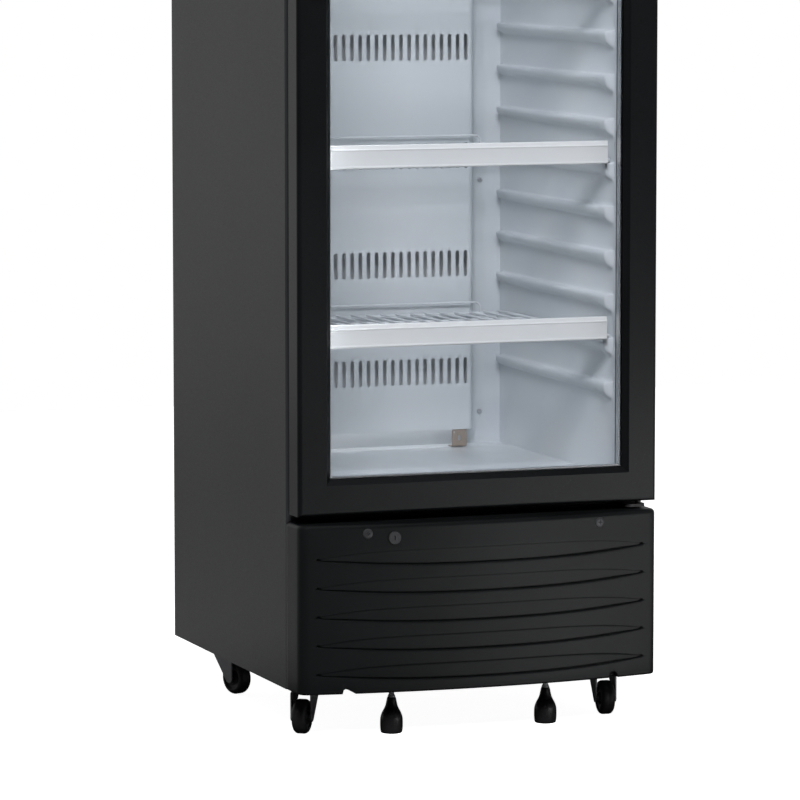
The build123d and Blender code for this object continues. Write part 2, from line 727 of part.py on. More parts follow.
def price_strip(index):
    """Snap-on ticket moulding in front of a shelf."""
    z0 = shelf_level(index) - STRIP_DROP
    z1 = z0 + STRIP_HEIGHT
    half = SHELF_HALF - STRIP_END_INSET
    y1 = Y_SHELF_FRONT
    y0 = y1 - STRIP_DEPTH
    outline = [
        (y0 + STRIP_STEP, z1),
        (y0 + STRIP_STEP, z1 - STRIP_STEP_HEIGHT),
        (y0, z1 - STRIP_STEP_HEIGHT),
        (y0, z0),
        (y1, z0),
        (y1, z0 + STRIP_WALL),
        (y0 + STRIP_STEP + STRIP_WALL, z0 + STRIP_WALL),
        (y0 + STRIP_STEP + STRIP_WALL, z1 - STRIP_WALL),
        (y1, z1 - STRIP_WALL),
        (y1, z1),
    ]
    return prism_x(outline, -half, half)


# ------------------------------------------------------------------ lamps
def lamp_place(z_under, y):
    """Housing and diffuser of one lamp that hangs under z_under."""
    half = LAMP_LENGTH / 2
    y1 = y + LAMP_WIDTH
    z_lens = z_under - LAMP_HEIGHT
    housing = block(-half, half, y, y1, z_lens, z_under)
    x_cap = half - LAMP_END_CAP
    lens = rod_x(LAMP_WIDTH / 2 - LAMP_RIM, -x_cap, x_cap, (y + y1) / 2, z_lens)
    lens &= block(-half, half, y, y1, z_lens - LAMP_DIFFUSER_HEIGHT, z_lens)
    return housing, lens


def lamps():
    y_inside = Y_FRONT + THROAT_DEPTH + LAMP_SETBACK
    y_header = Y_FRONT - COVER_DEPTH / 2
    return [lamp_place(Z_CEILING, y_inside), lamp_place(Z_TOP - HEADER_WALL, y_header)]


# ------------------------------------------------------------------ front covers
def bow_y(x, inset=0.0):
    """Depth of the bowed face at x, measured on its circle."""
    half = X_SIDE
    radius = (half ** 2 + COVER_BOW ** 2) / (2 * COVER_BOW)
    centre = Y_FRONT - COVER_DEPTH - COVER_BOW + radius
    return centre - math.sqrt((radius - inset) ** 2 - x ** 2)


def cover_solid(z0, z1, inset=0.0, back=0.0):
    """Bowed cover as a full solid, drawn inset from its outside and reaching past its back."""
    half = X_SIDE - inset
    y_corner = bow_y(half, inset)
    y_middle = bow_y(0, inset)
    y1 = Y_FRONT + back
    front = ThreePointArc((-half, y_corner), (0, y_middle), (half, y_corner))
    sides = Polyline((half, y_corner), (half, y1), (-half, y1), (-half, y_corner))
    body = extrude(Pos(0, 0, z0) * make_face([front, sides]), amount=z1 - z0, dir=(0, 0, 1))
    corners = body.edges().filter_by(Axis.Z).group_by(Axis.Y)[0]
    return fillet(corners, COVER_CORNER - inset)


def louvre_outline(z, rise, sag, flat_half):
    """Lens in X and Z: a nearly straight top edge and a bowed lower edge."""
    half = LOUVRE_HALF_LENGTH
    run = half - flat_half
    radius = (run ** 2 + rise ** 2) / (2 * rise)
    mid_run = run / 2
    mid_drop = radius - math.sqrt(radius ** 2 - mid_run ** 2)
    top = z + rise
    left = ThreePointArc((-half, 0, z), (-flat_half - mid_run, 0, top - mid_drop), (-flat_half, 0, top))
    flat = Line((-flat_half, 0, top), (flat_half, 0, top))
    right = ThreePointArc((flat_half, 0, top), (flat_half + mid_run, 0, top - mid_drop), (half, 0, z))
    lower = ThreePointArc((half, 0, z), (0, 0, z - sag), (-half, 0, z))
    return make_face([left, flat, right, lower])


def louvre_slit(z):
    """Thin crescent of open air along the lower edge."""
    half = LOUVRE_HALF_LENGTH
    lower = ThreePointArc((half, 0, z), (0, 0, z - LOUVRE_SAG), (-half, 0, z))
    upper = ThreePointArc((-half, 0, z), (0, 0, z - LOUVRE_SAG + LOUVRE_SLIT), (half, 0, z))
    return make_face([lower, upper])


def grille_fixings():
    """Bosses, seats and holes for the two screws, and for the lock."""
    add = []
    cut = []
    for side in (-1, 1):
        x = side * GRILLE_SCREW_OFFSET
        z = Z_BOTTOM + GRILLE_SCREW_HEIGHT
        seat = bow_y(x) + SEAT_DEPTH
        add.append(rod_y(BOSS_RADIUS, x, seat, Y_FRONT, z))
        cut.append(rod_y(GRILLE_SCREW_HEAD_RADIUS + SCREW_CLEARANCE, x, seat - SEAT_CUT, seat, z))
        cut.append(rod_y(SCREW_RADIUS + SCREW_CLEARANCE, x, seat - CUT, Y_FRONT + CUT, z))
    z = Z_BOTTOM + LOCK_HEIGHT
    seat = lock_seat()
    add.append(rod_y(LOCK_BARREL_RADIUS + LOCK_BOSS_WALL, LOCK_OFFSET, seat, seat + LOCK_BOSS_LENGTH, z))
    cut.append(rod_y(LOCK_FACE_RADIUS + SCREW_CLEARANCE, LOCK_OFFSET, seat - SEAT_CUT, seat, z))
    cut.append(rod_y(LOCK_BARREL_RADIUS, LOCK_OFFSET, seat - CUT, seat + LOCK_BOSS_LENGTH + CUT, z))
    return add, cut


def grille():
    z0 = Z_BOTTOM
    shell = cover_solid(z0, Z_GRILLE_TOP)
    rim = [e for e in shell.faces().sort_by(Axis.Z)[-1].edges() if e.center().Y < Y_FRONT - CUT]
    shell = fillet(rim, GRILLE_EDGE)
    room = cover_solid(z0 - CUT, Z_GRILLE_TOP - GRILLE_WALL, GRILLE_WALL, CUT)
    inner_rim = [e for e in room.faces().sort_by(Axis.Z)[-1].edges() if e.center().Y < Y_FRONT - CUT]
    shell -= fillet(inner_rim, GRILLE_EDGE - GRILLE_WALL)
    recess_wall = cover_solid(z0, Z_GRILLE_TOP, LOUVRE_RECESS, CUT)
    for i in range(LOUVRE_COUNT):
        z = z0 + LOUVRE_FIRST + i * LOUVRE_PITCH
        lens = extrude(Pos(0, Y_AHEAD, 0) * louvre_outline(z, LOUVRE_RISE, LOUVRE_SAG, LOUVRE_FLAT_HALF),
                       amount=COVER_DEPTH + COVER_BOW, dir=(0, 1, 0))
        shell -= lens - recess_wall
        shell -= extrude(Pos(0, Y_AHEAD, 0) * louvre_slit(z), amount=COVER_DEPTH + COVER_BOW, dir=(0, 1, 0))
    for side in (-1, 1):
        x = side * NOTCH_OFFSET
        shell -= block(x - NOTCH_WIDTH / 2, x + NOTCH_WIDTH / 2, Y_AHEAD, Y_FRONT - COVER_DEPTH / 2,
                       z0 - CUT, z0 + NOTCH_HEIGHT)
    add, cut = grille_fixings()
    shell += add
    shell -= cut
    return shell - lock_swing(Z_GRILLE_TOP - LOCK_SLOT_DEPTH, Z_GRILLE_TOP + CUT)


def header_frame():
    shell = cover_solid(Z_HEADER, Z_TOP)
    rims = [e for f in (shell.faces().sort_by(Axis.Z)[-1], shell.faces().sort_by(Axis.Z)[0])
            for e in f.edges() if e.center().Y < Y_FRONT - CUT]
    shell = fillet(rims, HEADER_EDGE)
    shell -= cover_solid(Z_HEADER + HEADER_WALL, Z_TOP - HEADER_WALL, HEADER_WALL, CUT)
    window_half = X_SIDE - COVER_CORNER - SIGN_FRAME
    return shell - block(-window_half, window_half, Y_AHEAD, Y_FRONT - COVER_DEPTH / 2,
                         Z_HEADER + SIGN_FRAME, Z_TOP - SIGN_FRAME)


def sign_panel():
    """Plain bowed diffuser sheet behind the header's window."""
    sheet = cover_solid(Z_HEADER, Z_TOP, HEADER_WALL)
    sheet -= cover_solid(Z_HEADER - CUT, Z_TOP + CUT, HEADER_WALL + SIGN_THICKNESS, CUT)
    half = X_SIDE - COVER_CORNER - SIGN_FRAME + SIGN_OVERLAP
    border = SIGN_FRAME - SIGN_OVERLAP
    return sheet & block(-half, half, Y_AHEAD, Y_FRONT - COVER_DEPTH / 2, Z_HEADER + border, Z_TOP - border)


# ------------------------------------------------------------------ door
def door_bar(length):
    """Mitred frame bar: outer edge at Z 0, front face at Y 0, drawn along X."""
    half = length / 2
    groove_front = DOOR_BEVEL_DEPTH
    groove_back = groove_front + 2 * GLASS_THICKNESS + GLASS_GAP
    root = DOOR_RAIL - GLASS_BITE
    section = [
        (0, 0),
        (0, DOOR_FACE),
        (groove_front, DOOR_RAIL),
        (groove_front, root),
        (groove_back, root),
        (groove_back, DOOR_RAIL),
        (DOOR_THICKNESS - (DOOR_THICKNESS - groove_back) / 2, DOOR_RAIL),
        (DOOR_THICKNESS, DOOR_FACE),
        (DOOR_THICKNESS, 0),
    ]
    bar = prism_x(section, -half, half)
    front_edge = bar.edges().filter_by(Axis.X).sort_by(lambda e: e.center().Y + e.center().Z)[0]
    bar = fillet(front_edge, DOOR_EDGE_RADIUS)
    mitre = [(-half, 0), (half, 0), (half - DOOR_RAIL, DOOR_RAIL), (-half + DOOR_RAIL, DOOR_RAIL)]
    return bar & prism_y(mitre, -1, DOOR_THICKNESS + CUT)


def door_stile(side):
    bar = Rot(0, -90 * side, 0) * door_bar(DOOR_HEIGHT)
    return Pos(side * X_SIDE, Y_DOOR_FRONT, Z_DOOR + DOOR_HEIGHT / 2) * bar


def hinge_bores():
    radius = HINGE_PIN_RADIUS + RUNNING_CLEARANCE
    depth = HINGE_PIN_LENGTH + CUT
    low = rod_z(radius, HINGE_X, HINGE_Y, Z_DOOR - CUT, Z_DOOR + depth)
    high = rod_z(radius, HINGE_X, HINGE_Y, Z_DOOR_TOP - depth, Z_DOOR_TOP + CUT)
    return [low, high]


def door_rail_bottom():
    rail = Pos(0, Y_DOOR_FRONT, Z_DOOR) * door_bar(CABINET_WIDTH)
    z_slot = Z_BOTTOM + LOCK_HEIGHT + LOCK_CAM_REACH + LOCK_SLOT_CLEARANCE
    return rail - hinge_bores() - lock_swing(Z_DOOR - CUT, z_slot)


def door_rail_top():
    rail = Pos(0, Y_DOOR_FRONT, Z_DOOR_TOP) * Rot(0, 180, 0) * door_bar(CABINET_WIDTH)
    return rail - hinge_bores()


def glass_half():
    return X_SIDE - DOOR_RAIL + GLASS_BITE - GLASS_CLEARANCE


def glass_ends():
    inset = DOOR_RAIL - GLASS_BITE + GLASS_CLEARANCE
    return Z_DOOR + inset, Z_DOOR_TOP - inset


def glass_panes():
    half = glass_half()
    z0, z1 = glass_ends()
    y0 = Y_DOOR_FRONT + DOOR_BEVEL_DEPTH
    y1 = y0 + GLASS_THICKNESS + GLASS_GAP
    return [block(-half, half, y, y + GLASS_THICKNESS, z0, z1) for y in (y0, y1)]


def glass_spacer():
    z0, z1 = glass_ends()
    y0 = Y_DOOR_FRONT + DOOR_BEVEL_DEPTH + GLASS_THICKNESS
    half = glass_half() - SPACER_COVER
    return ring(half, z0 + SPACER_COVER, z1 - SPACER_COVER, SPACER_WIDTH, y0, y0 + GLASS_GAP)


def door_gasket():
    half = X_SIDE - GASKET_INSET_SIDE
    z0 = Z_DOOR + GASKET_INSET_END
    z1 = Z_DOOR_TOP - GASKET_INSET_END
    y1 = Y_FRONT - GASKET_CLEARANCE
    seal = ring(half, z0, z1, GASKET_WIDTH, Y_DOOR_BACK, y1)
    middle = (Y_DOOR_BACK + y1) / 2
    groove = GASKET_GROOVE
    fold = block(-half - CUT, half + CUT, middle - groove / 2, middle + groove / 2, z0 - CUT, z1 + CUT)
    fold -= block(-half + groove, half - groove, middle - groove, middle + groove, z0 + groove, z1 - groove)
    return seal - fold


def door_handle():
    """Bow handle: a flat bar on two posts, bent from one strip."""
    x = -X_SIDE + DOOR_FACE / 2
    z0 = Z_DOOR + HANDLE_BOTTOM
    z1 = z0 + HANDLE_LENGTH
    x0 = x - HANDLE_WIDTH / 2
    x1 = x + HANDLE_WIDTH / 2
    y0 = Y_DOOR_FRONT - HANDLE_REACH
    body = block(x0, x1, y0, Y_DOOR_FRONT, z0, z1)
    body = fillet(body.faces().sort_by(Axis.Y)[0].edges().filter_by(Axis.X), HANDLE_BEND)
    room = block(x0 - CUT, x1 + CUT, y0 + HANDLE_BAR, Y_DOOR_FRONT + CUT, z0 + HANDLE_POST, z1 - HANDLE_POST)
    room = fillet(room.faces().sort_by(Axis.Y)[0].edges().filter_by(Axis.X), HANDLE_INNER_BEND)
    body -= room
    front = [e for e in body.edges() if e.center().Y < y0 + HANDLE_BEND / 2]
    sides = [e for e in front if abs(e.center().X - x) > HANDLE_WIDTH / 4]
    return fillet(sides, HANDLE_EDGE)


# ------------------------------------------------------------------ hinge
def hinge_bracket(z_plate, towards):
    """Plate ahead of the front plane with its pin; towards 1 has the pin upward."""
    x0 = HINGE_X - HINGE_PLATE_WIDTH + HINGE_PLATE_MARGIN
    x1 = HINGE_X + HINGE_PLATE_MARGIN
    z_face = z_plate + towards * HINGE_PLATE
    plate = block(x0, x1, HINGE_Y - HINGE_PLATE_MARGIN, Y_FRONT, min(z_plate, z_face), max(z_plate, z_face))
    front = plate.edges().filter_by(Axis.Z).group_by(Axis.Y)[0]
    plate = fillet(front, HINGE_PLATE_CORNER)
    z_flange = z_plate + towards * HINGE_FLANGE_HEIGHT
    flange = block(x0, x1, Y_FRONT - HINGE_FLANGE, Y_FRONT, min(z_plate, z_flange), max(z_plate, z_flange))
    return plate + flange


def hinge_brackets():
    low_plate = Z_DOOR - HINGE_DOOR_GAP - HINGE_PLATE
    high_plate = Z_DOOR_TOP + HINGE_DOOR_GAP + HINGE_PLATE
    low = hinge_bracket(low_plate, 1)
    low += rod_z(HINGE_PIN_RADIUS, HINGE_X, HINGE_Y, low_plate, Z_DOOR + HINGE_PIN_LENGTH)
    high = hinge_bracket(high_plate, -1)
    high += rod_z(HINGE_PIN_RADIUS, HINGE_X, HINGE_Y, Z_DOOR_TOP - HINGE_PIN_LENGTH, high_plate)
    return [low, high]


# ------------------------------------------------------------------ lock
def lock_seat():
    return bow_y(LOCK_OFFSET) + SEAT_DEPTH


def lock_cam_y():
    front = lock_seat() + LOCK_BARREL_LENGTH + LOCK_PLAY
    return front, front + LOCK_CAM


def lock_swing(z0, z1):
    """Room that the cam sweeps between two levels as it turns up into the door."""
    y0, y1 = lock_cam_y()
    x0 = LOCK_OFFSET - LOCK_CAM_WIDTH / 2 - LOCK_SLOT_CLEARANCE
    x1 = LOCK_OFFSET + LOCK_CAM_REACH + LOCK_SLOT_CLEARANCE
    return block(x0, x1, y0 - LOCK_SLOT_CLEARANCE, y1 + LOCK_SLOT_CLEARANCE, z0, z1)


def lock_barrel():
    z = Z_BOTTOM + LOCK_HEIGHT
    seat = lock_seat()
    face = rod_y(LOCK_FACE_RADIUS, LOCK_OFFSET, seat - LOCK_FACE, seat, z)
    face = fillet(face.faces().sort_by(Axis.Y)[0].edges(), LOCK_FACE_EDGE)
    tube = rod_y(LOCK_BARREL_RADIUS, LOCK_OFFSET, seat, seat + LOCK_BARREL_LENGTH, z)
    bore = rod_y(LOCK_PLUG_RADIUS + RUNNING_CLEARANCE, LOCK_OFFSET, seat - LOCK_FACE - CUT,
                 seat + LOCK_BARREL_LENGTH + CUT, z)
    return face + tube - bore


def lock_plug():
    z = Z_BOTTOM + LOCK_HEIGHT
    front = lock_seat() - LOCK_FACE + LOCK_PLAY
    y0, y1 = lock_cam_y()
    half = LOCK_CAM_SQUARE / 2
    plug = rod_y(LOCK_PLUG_RADIUS, LOCK_OFFSET, front, y0, z)
    plug += block(LOCK_OFFSET - half, LOCK_OFFSET + half, y0 - CUT, y1, z - half, z + half)
    keyway = block(LOCK_OFFSET - KEYWAY_WIDTH / 2, LOCK_OFFSET + KEYWAY_WIDTH / 2, front - CUT,
                   front + KEYWAY_DEPTH, z - KEYWAY_HEIGHT / 2, z + KEYWAY_HEIGHT / 2)
    return plug - keyway


def lock_cam():
    z = Z_BOTTOM + LOCK_HEIGHT
    y0, y1 = lock_cam_y()
    half = LOCK_CAM_WIDTH / 2
    cam = rod_y(half, LOCK_OFFSET, y0, y1, z)
    cam += block(LOCK_OFFSET, LOCK_OFFSET + LOCK_CAM_REACH, y0, y1, z - half, z + half)
    square = LOCK_CAM_SQUARE / 2
    return cam - block(LOCK_OFFSET - square, LOCK_OFFSET + square, y0 - CUT, y1 + CUT, z - square, z + square)


# ------------------------------------------------------------------ base frame, covers and feet
def caster_places():
    x = X_SIDE - CASTER_SIDE_INSET
    y_front = Y_FRONT + CASTER_FRONT_INSET
    y_rear = Y_BACK - CASTER_REAR_INSET
    return {
        "front_left": (-x, y_front),
        "front_right": (x, y_front),
        "rear_left": (-x, y_rear),
        "rear_right": (x, y_rear),
    }


def caster_bolt_places():
    half = CASTER_HOLE_PITCH / 2
    corners = [(i * half, j * half) for i in (-1, 1) for j in (-1, 1)]
    return [(x + i, y + j) for x, y in caster_places().values() for i, j in corners]


def foot_places():
    return {"left": (-FOOT_OFFSET, Y_FRONT - FOOT_FORWARD), "right": (FOOT_OFFSET, Y_FRONT - FOOT_FORWARD)}


def base_frame():
    half = X_SIDE - SHEET
    y1 = Y_REAR_COVER - SHEET
    z0 = Z_BOTTOM
    tray = block(-half, half, Y_FRONT + SHEET, y1, z0, z0 + PAN_EDGE)
    tray -= block(-half + PAN_SHEET, half - PAN_SHEET, Y_FRONT + SHEET + PAN_SHEET, y1 - PAN_SHEET,
                  z0 + PAN_SHEET, z0 + PAN_EDGE + CUT)
    tongue = block(-PAN_TONGUE_HALF, PAN_TONGUE_HALF, Y_FRONT - PAN_TONGUE, Y_FRONT + SHEET + CUT,
                   z0, z0 + PAN_SHEET)
    rail_half = X_SIDE - SHEET_FLANGE
    front = block(-rail_half, rail_half, Y_FRONT, Y_FRONT + FRONT_RAIL, z0, Z_MACHINE_TOP)
    front -= block(-rail_half + FRONT_POST, rail_half - FRONT_POST, Y_FRONT - CUT, Y_FRONT + FRONT_RAIL + CUT,
                   z0 + PAN_EDGE, Z_MACHINE_TOP - FRONT_RAIL_HEIGHT)
    frame = tray + tongue + front
    for x, y in foot_places().values():
        frame += hexagon_z(FOOT_NUT_ACROSS, x, y, z0, z0 + FOOT_NUT_HEIGHT)
        frame -= rod_z(FOOT_STEM_RADIUS + RUNNING_CLEARANCE, x, y, z0 - CUT, z0 + FOOT_NUT_HEIGHT + CUT)
    for x, y in caster_bolt_places():
        frame -= rod_z(BOLT_RADIUS + BOLT_CLEARANCE, x, y, z0 - CUT, z0 + PAN_SHEET + CUT)
    frame -= [rod_y(SCREW_RADIUS + SCREW_CLEARANCE, side * GRILLE_SCREW_OFFSET, Y_FRONT - CUT,
                    Y_FRONT + FRONT_RAIL + CUT, z0 + GRILLE_SCREW_HEIGHT) for side in (-1, 1)]
    return frame - rear_screw_holes()


def rear_screw_places():
    return [(side * x, Z_BOTTOM + PAN_EDGE / 2) for side in (-1, 1) for x in REAR_SCREW_OFFSETS]


def rear_screw_holes():
    radius = SCREW_RADIUS + SCREW_CLEARANCE
    y0 = Y_REAR_COVER - SHEET - PAN_SHEET - CUT
    return [rod_y(radius, x, y0, Y_REAR_COVER + CUT, z) for x, z in rear_screw_places()]


def rear_cover():
    half = X_SIDE - SHEET
    z0 = Z_BOTTOM
    z1 = Z_MACHINE_TOP
    y0 = Y_REAR_COVER - REAR_COVER_FLANGE
    y_in = Y_REAR_COVER - SHEET - CUT
    y_out = Y_REAR_COVER + CUT
    cover = block(-half, half, y0, Y_REAR_COVER, z0 + PAN_EDGE, z1)
    cover -= block(-half + SHEET, half - SHEET, y0 - CUT, Y_REAR_COVER - SHEET, z0, z1 + CUT)
    cover += block(-half, half, Y_REAR_COVER - SHEET, Y_REAR_COVER, z0, z0 + PAN_EDGE + CUT)
    for i in range(VENT_COUNT):
        z = z0 + VENT_FIRST + i * VENT_PITCH
        cover -= block(-VENT_LENGTH / 2, VENT_LENGTH / 2, y_in, y_out, z, z + VENT_HEIGHT)
    cover -= rod_y(GLAND_RADIUS, GLAND_OFFSET, y_in, y_out, z0 + GLAND_HEIGHT)
    return cover - rear_screw_holes()


def cord_inlet():
    """Rubber gland for the mains lead, held in the sheet between two lips."""
    z = Z_BOTTOM + GLAND_HEIGHT
    y_sheet = Y_REAR_COVER - SHEET
    y_in = y_sheet - GLAND_GRIP
    body = rod_y(GLAND_RADIUS, GLAND_OFFSET, y_sheet, Y_REAR_COVER, z)
    inner = rod_y(GLAND_RADIUS + GLAND_LIP, GLAND_OFFSET, y_in, y_sheet, z)
    outer = rod_y(GLAND_FLANGE_RADIUS, GLAND_OFFSET, Y_REAR_COVER, Y_REAR_COVER + GLAND_FLANGE, z)
    outer = fillet(outer.faces().sort_by(Axis.Y)[-1].edges(), GLAND_EDGE)
    bore = rod_y(GLAND_BORE, GLAND_OFFSET, y_in - CUT, Y_REAR_COVER + GLAND_FLANGE + CUT, z)
    return body + outer + inner - bore


def levelling_foot(name):
    x, y = foot_places()[name]
    bottom_radius = FOOT_BELL[0][0]
    top_radius, top_height = FOOT_BELL[-1]
    side = Spline(*[(r, 0, z) for r, z in FOOT_BELL[1:]])
    lines = [
        Line((FOOT_STEM_RADIUS, 0, 0), (bottom_radius, 0, 0)),
        Line((bottom_radius, 0, 0), (FOOT_BELL[1][0], 0, FOOT_BELL[1][1])),
        side,
        Line((top_radius, 0, top_height), (FOOT_STEM_RADIUS, 0, top_height)),
        Line((FOOT_STEM_RADIUS, 0, top_height), (FOOT_STEM_RADIUS, 0, 0)),
    ]
    bell = revolve(make_face(lines), axis=Axis.Z)
    stem = rod_z(FOOT_STEM_RADIUS, 0, 0, FOOT_STEM_BOTTOM, FOOT_STEM_TOP)
    collar = Cone(top_radius, FOOT_STEM_RADIUS, FOOT_COLLAR_HEIGHT)
    collar = Pos(0, 0, top_height + FOOT_COLLAR_HEIGHT / 2) * collar
    return [Pos(x, y, 0) * bell, Pos(x, y, 0) * (stem + collar)]


# ------------------------------------------------------------------ casters
def caster_plates():
    pieces = []
    half = CASTER_PLATE_SIZE / 2
    z1 = Z_BOTTOM
    z0 = z1 - CASTER_PLATE
    for x, y in caster_places().values():
        plate = block(x - half, x + half, y - half, y + half, z0, z1)
        plate = fillet(plate.edges().filter_by(Axis.Z), CASTER_PLATE_CORNER)
        cup = rod_z(CASTER_CUP_RADIUS, x, y, z0 - CASTER_CUP_HEIGHT, z0)
        cup = fillet(cup.faces().sort_by(Axis.Z)[0].edges(), CASTER_CUP_EDGE)
        z_fork = z0 - CASTER_CUP_HEIGHT - FORK_PLAY
        z_head = z_fork - FORK_SHEET - FORK_PLAY
        pin = rod_z(KINGPIN_RADIUS, x, y, z_head - KINGPIN_HEAD, z0)
        head = rod_z(KINGPIN_HEAD_RADIUS, x, y, z_head - KINGPIN_HEAD, z_head)
        plate += cup + pin + head
        hole = CASTER_HOLE_PITCH / 2
        for i in (-1, 1):
            for j in (-1, 1):
                plate -= rod_z(BOLT_RADIUS + BOLT_CLEARANCE, x + i * hole, y + j * hole, z0 - CUT, z1 + CUT)
        pieces.append(plate)
    return pieces


def caster_bolts():
    z_head = Z_BOTTOM - CASTER_PLATE
    pieces = []
    for x, y in caster_bolt_places():
        head = hexagon_z(BOLT_HEAD_ACROSS, x, y, z_head - BOLT_HEAD, z_head)
        pieces.append(head + rod_z(BOLT_RADIUS, x, y, z_head, z_head + BOLT_LENGTH))
    return pieces


def caster_turn(name):
    """Places a caster part, drawn with its wheel ahead of the pivot on -Y, at its own heading."""
    x, y = caster_places()[name]
    return Pos(x, y, 0) * Rot(0, 0, CASTER_ANGLES[name])


def caster_fork(name):
    """Fork with its axle; the legs lean from the pivot to the axle."""
    z1 = Z_BOTTOM - CASTER_PLATE - CASTER_CUP_HEIGHT - FORK_PLAY
    z_leg = z1 - FORK_SHEET / 2
    x_in = FORK_LEG_GAP / 2
    x_out = x_in + FORK_SHEET
    crown = block(-x_out, x_out, -FORK_FRONT, FORK_BACK, z1 - FORK_SHEET, z1)
    outline = [
        (-FORK_FRONT, z_leg),
        (-FORK_FRONT, WHEEL_RADIUS),
        (-CASTER_TRAIL, WHEEL_RADIUS - FORK_AXLE_MARGIN),
        (-CASTER_TRAIL + FORK_AXLE_MARGIN, WHEEL_RADIUS - FORK_AXLE_MARGIN / 2),
        (FORK_BACK, z_leg),
    ]
    fork = crown + prism_x(outline, -x_out, -x_in) + prism_x(outline, x_in, x_out)
    fork -= rod_z(KINGPIN_RADIUS + RUNNING_CLEARANCE, 0, 0, z1 - FORK_SHEET - CUT, z1 + CUT)
    fork -= rod_x(AXLE_RADIUS, -x_out - CUT, x_out + CUT, -CASTER_TRAIL, WHEEL_RADIUS)
    axle = rod_x(AXLE_RADIUS, -x_out, x_out, -CASTER_TRAIL, WHEEL_RADIUS)
    for side in (-1, 1):
        x_head = side * (x_out + AXLE_HEAD)
        axle += rod_x(AXLE_HEAD_RADIUS, side * x_out, x_head, -CASTER_TRAIL, WHEEL_RADIUS)
    return [caster_turn(name) * fork, caster_turn(name) * axle]


def caster_wheel(name):
    half = WHEEL_WIDTH / 2
    wheel = rod_x(WHEEL_RADIUS, -half, half, 0, 0)
    wheel = fillet(wheel.edges().filter_by(GeomType.CIRCLE), WHEEL_SHOULDER)
    for side in (-1, 1):
        x0 = side * (half - WHEEL_RECESS)
        x1 = side * (half + CUT)
        wheel -= rod_x(WHEEL_RECESS_OUTER, x0, x1, 0, 0) - rod_x(WHEEL_RECESS_INNER, x0, x1, 0, 0)
    wheel -= rod_x(AXLE_RADIUS + RUNNING_CLEARANCE, -half - CUT, half + CUT, 0, 0)
    return caster_turn(name) * Pos(0, -CASTER_TRAIL, WHEEL_RADIUS) * wheel


# ------------------------------------------------------------------ machine compartment
def condenser_coil():
    y = Y_FRONT + CONDENSER_SETBACK + CONDENSER_DEPTH / 2
    z = Z_BOTTOM + PAN_SHEET + CONDENSER_RAISE
    coil = Pos(0, y, z) * finned_coil(CONDENSER_WIDTH, CONDENSER_DEPTH, CONDENSER_HEIGHT)
    for side in (-1, 1):
        x = side * CONDENSER_WIDTH / 2
        coil += block(x - side * COIL_END_PLATE, x, y - CONDENSER_DEPTH / 2, y + CONDENSER_DEPTH / 2,
                      Z_BOTTOM + PAN_SHEET, z + CUT)
    return coil


def outer_fan_place():
    """Height of the fan axis and the back of the shroud."""
    z = Z_BOTTOM + PAN_SHEET + CONDENSER_RAISE + CONDENSER_HEIGHT / 2
    y = Y_FRONT + CONDENSER_SETBACK + CONDENSER_DEPTH + SHROUD_DEPTH
    return y, z


def condenser_fan_shroud():
    y1, z = outer_fan_place()
    y0 = y1 - SHROUD_DEPTH
    half = CONDENSER_WIDTH / 2
    z0 = Z_BOTTOM + PAN_SHEET
    z1 = z0 + CONDENSER_RAISE + CONDENSER_HEIGHT
    shroud = block(-half, half, y0, y1, z0, z1)
    shroud -= block(-half + SHROUD_SHEET, half - SHROUD_SHEET, y0 - CUT, y1 - SHROUD_SHEET,
                    z0 + SHROUD_SHEET, z1 - SHROUD_SHEET)
    shroud -= rod_y(OUTER_FAN_RADIUS + FAN_TIP_CLEARANCE, 0, y0 - CUT, y1 + CUT, z)
    y_motor = y1 + OUTER_FAN_GAP
    y_arm = y_motor + MOTOR_ARM_SHEET
    shroud += rod_y(MOTOR_RADIUS, 0, y_motor, y_motor + MOTOR_LENGTH, z)
    arm_end = OUTER_FAN_RADIUS + MOTOR_ARM
    z0 = z - MOTOR_ARM / 2
    z1 = z + MOTOR_ARM / 2
    for side in (-1, 1):
        x_end = side * arm_end
        shroud += block(side * (MOTOR_RADIUS - MOTOR_ARM_BITE), x_end, y_motor, y_arm, z0, z1)
        shroud += block(side * (arm_end - MOTOR_ARM / 2), x_end, y1 - CUT, y_arm, z0, z1)
    return shroud + rod_y(FAN_SHAFT_RADIUS, 0, y0 + FAN_SHAFT_SETBACK, y_motor + CUT, z)


def condenser_fan_blades():
    y1, z = outer_fan_place()
    y = y1 - SHROUD_DEPTH / 2
    rotor = fan_blades(OUTER_FAN_RADIUS, OUTER_ROTOR_DEPTH, OUTER_BLADE_CHORD, OUTER_BLADE_PITCH)
    return Pos(0, y, z) * rotor


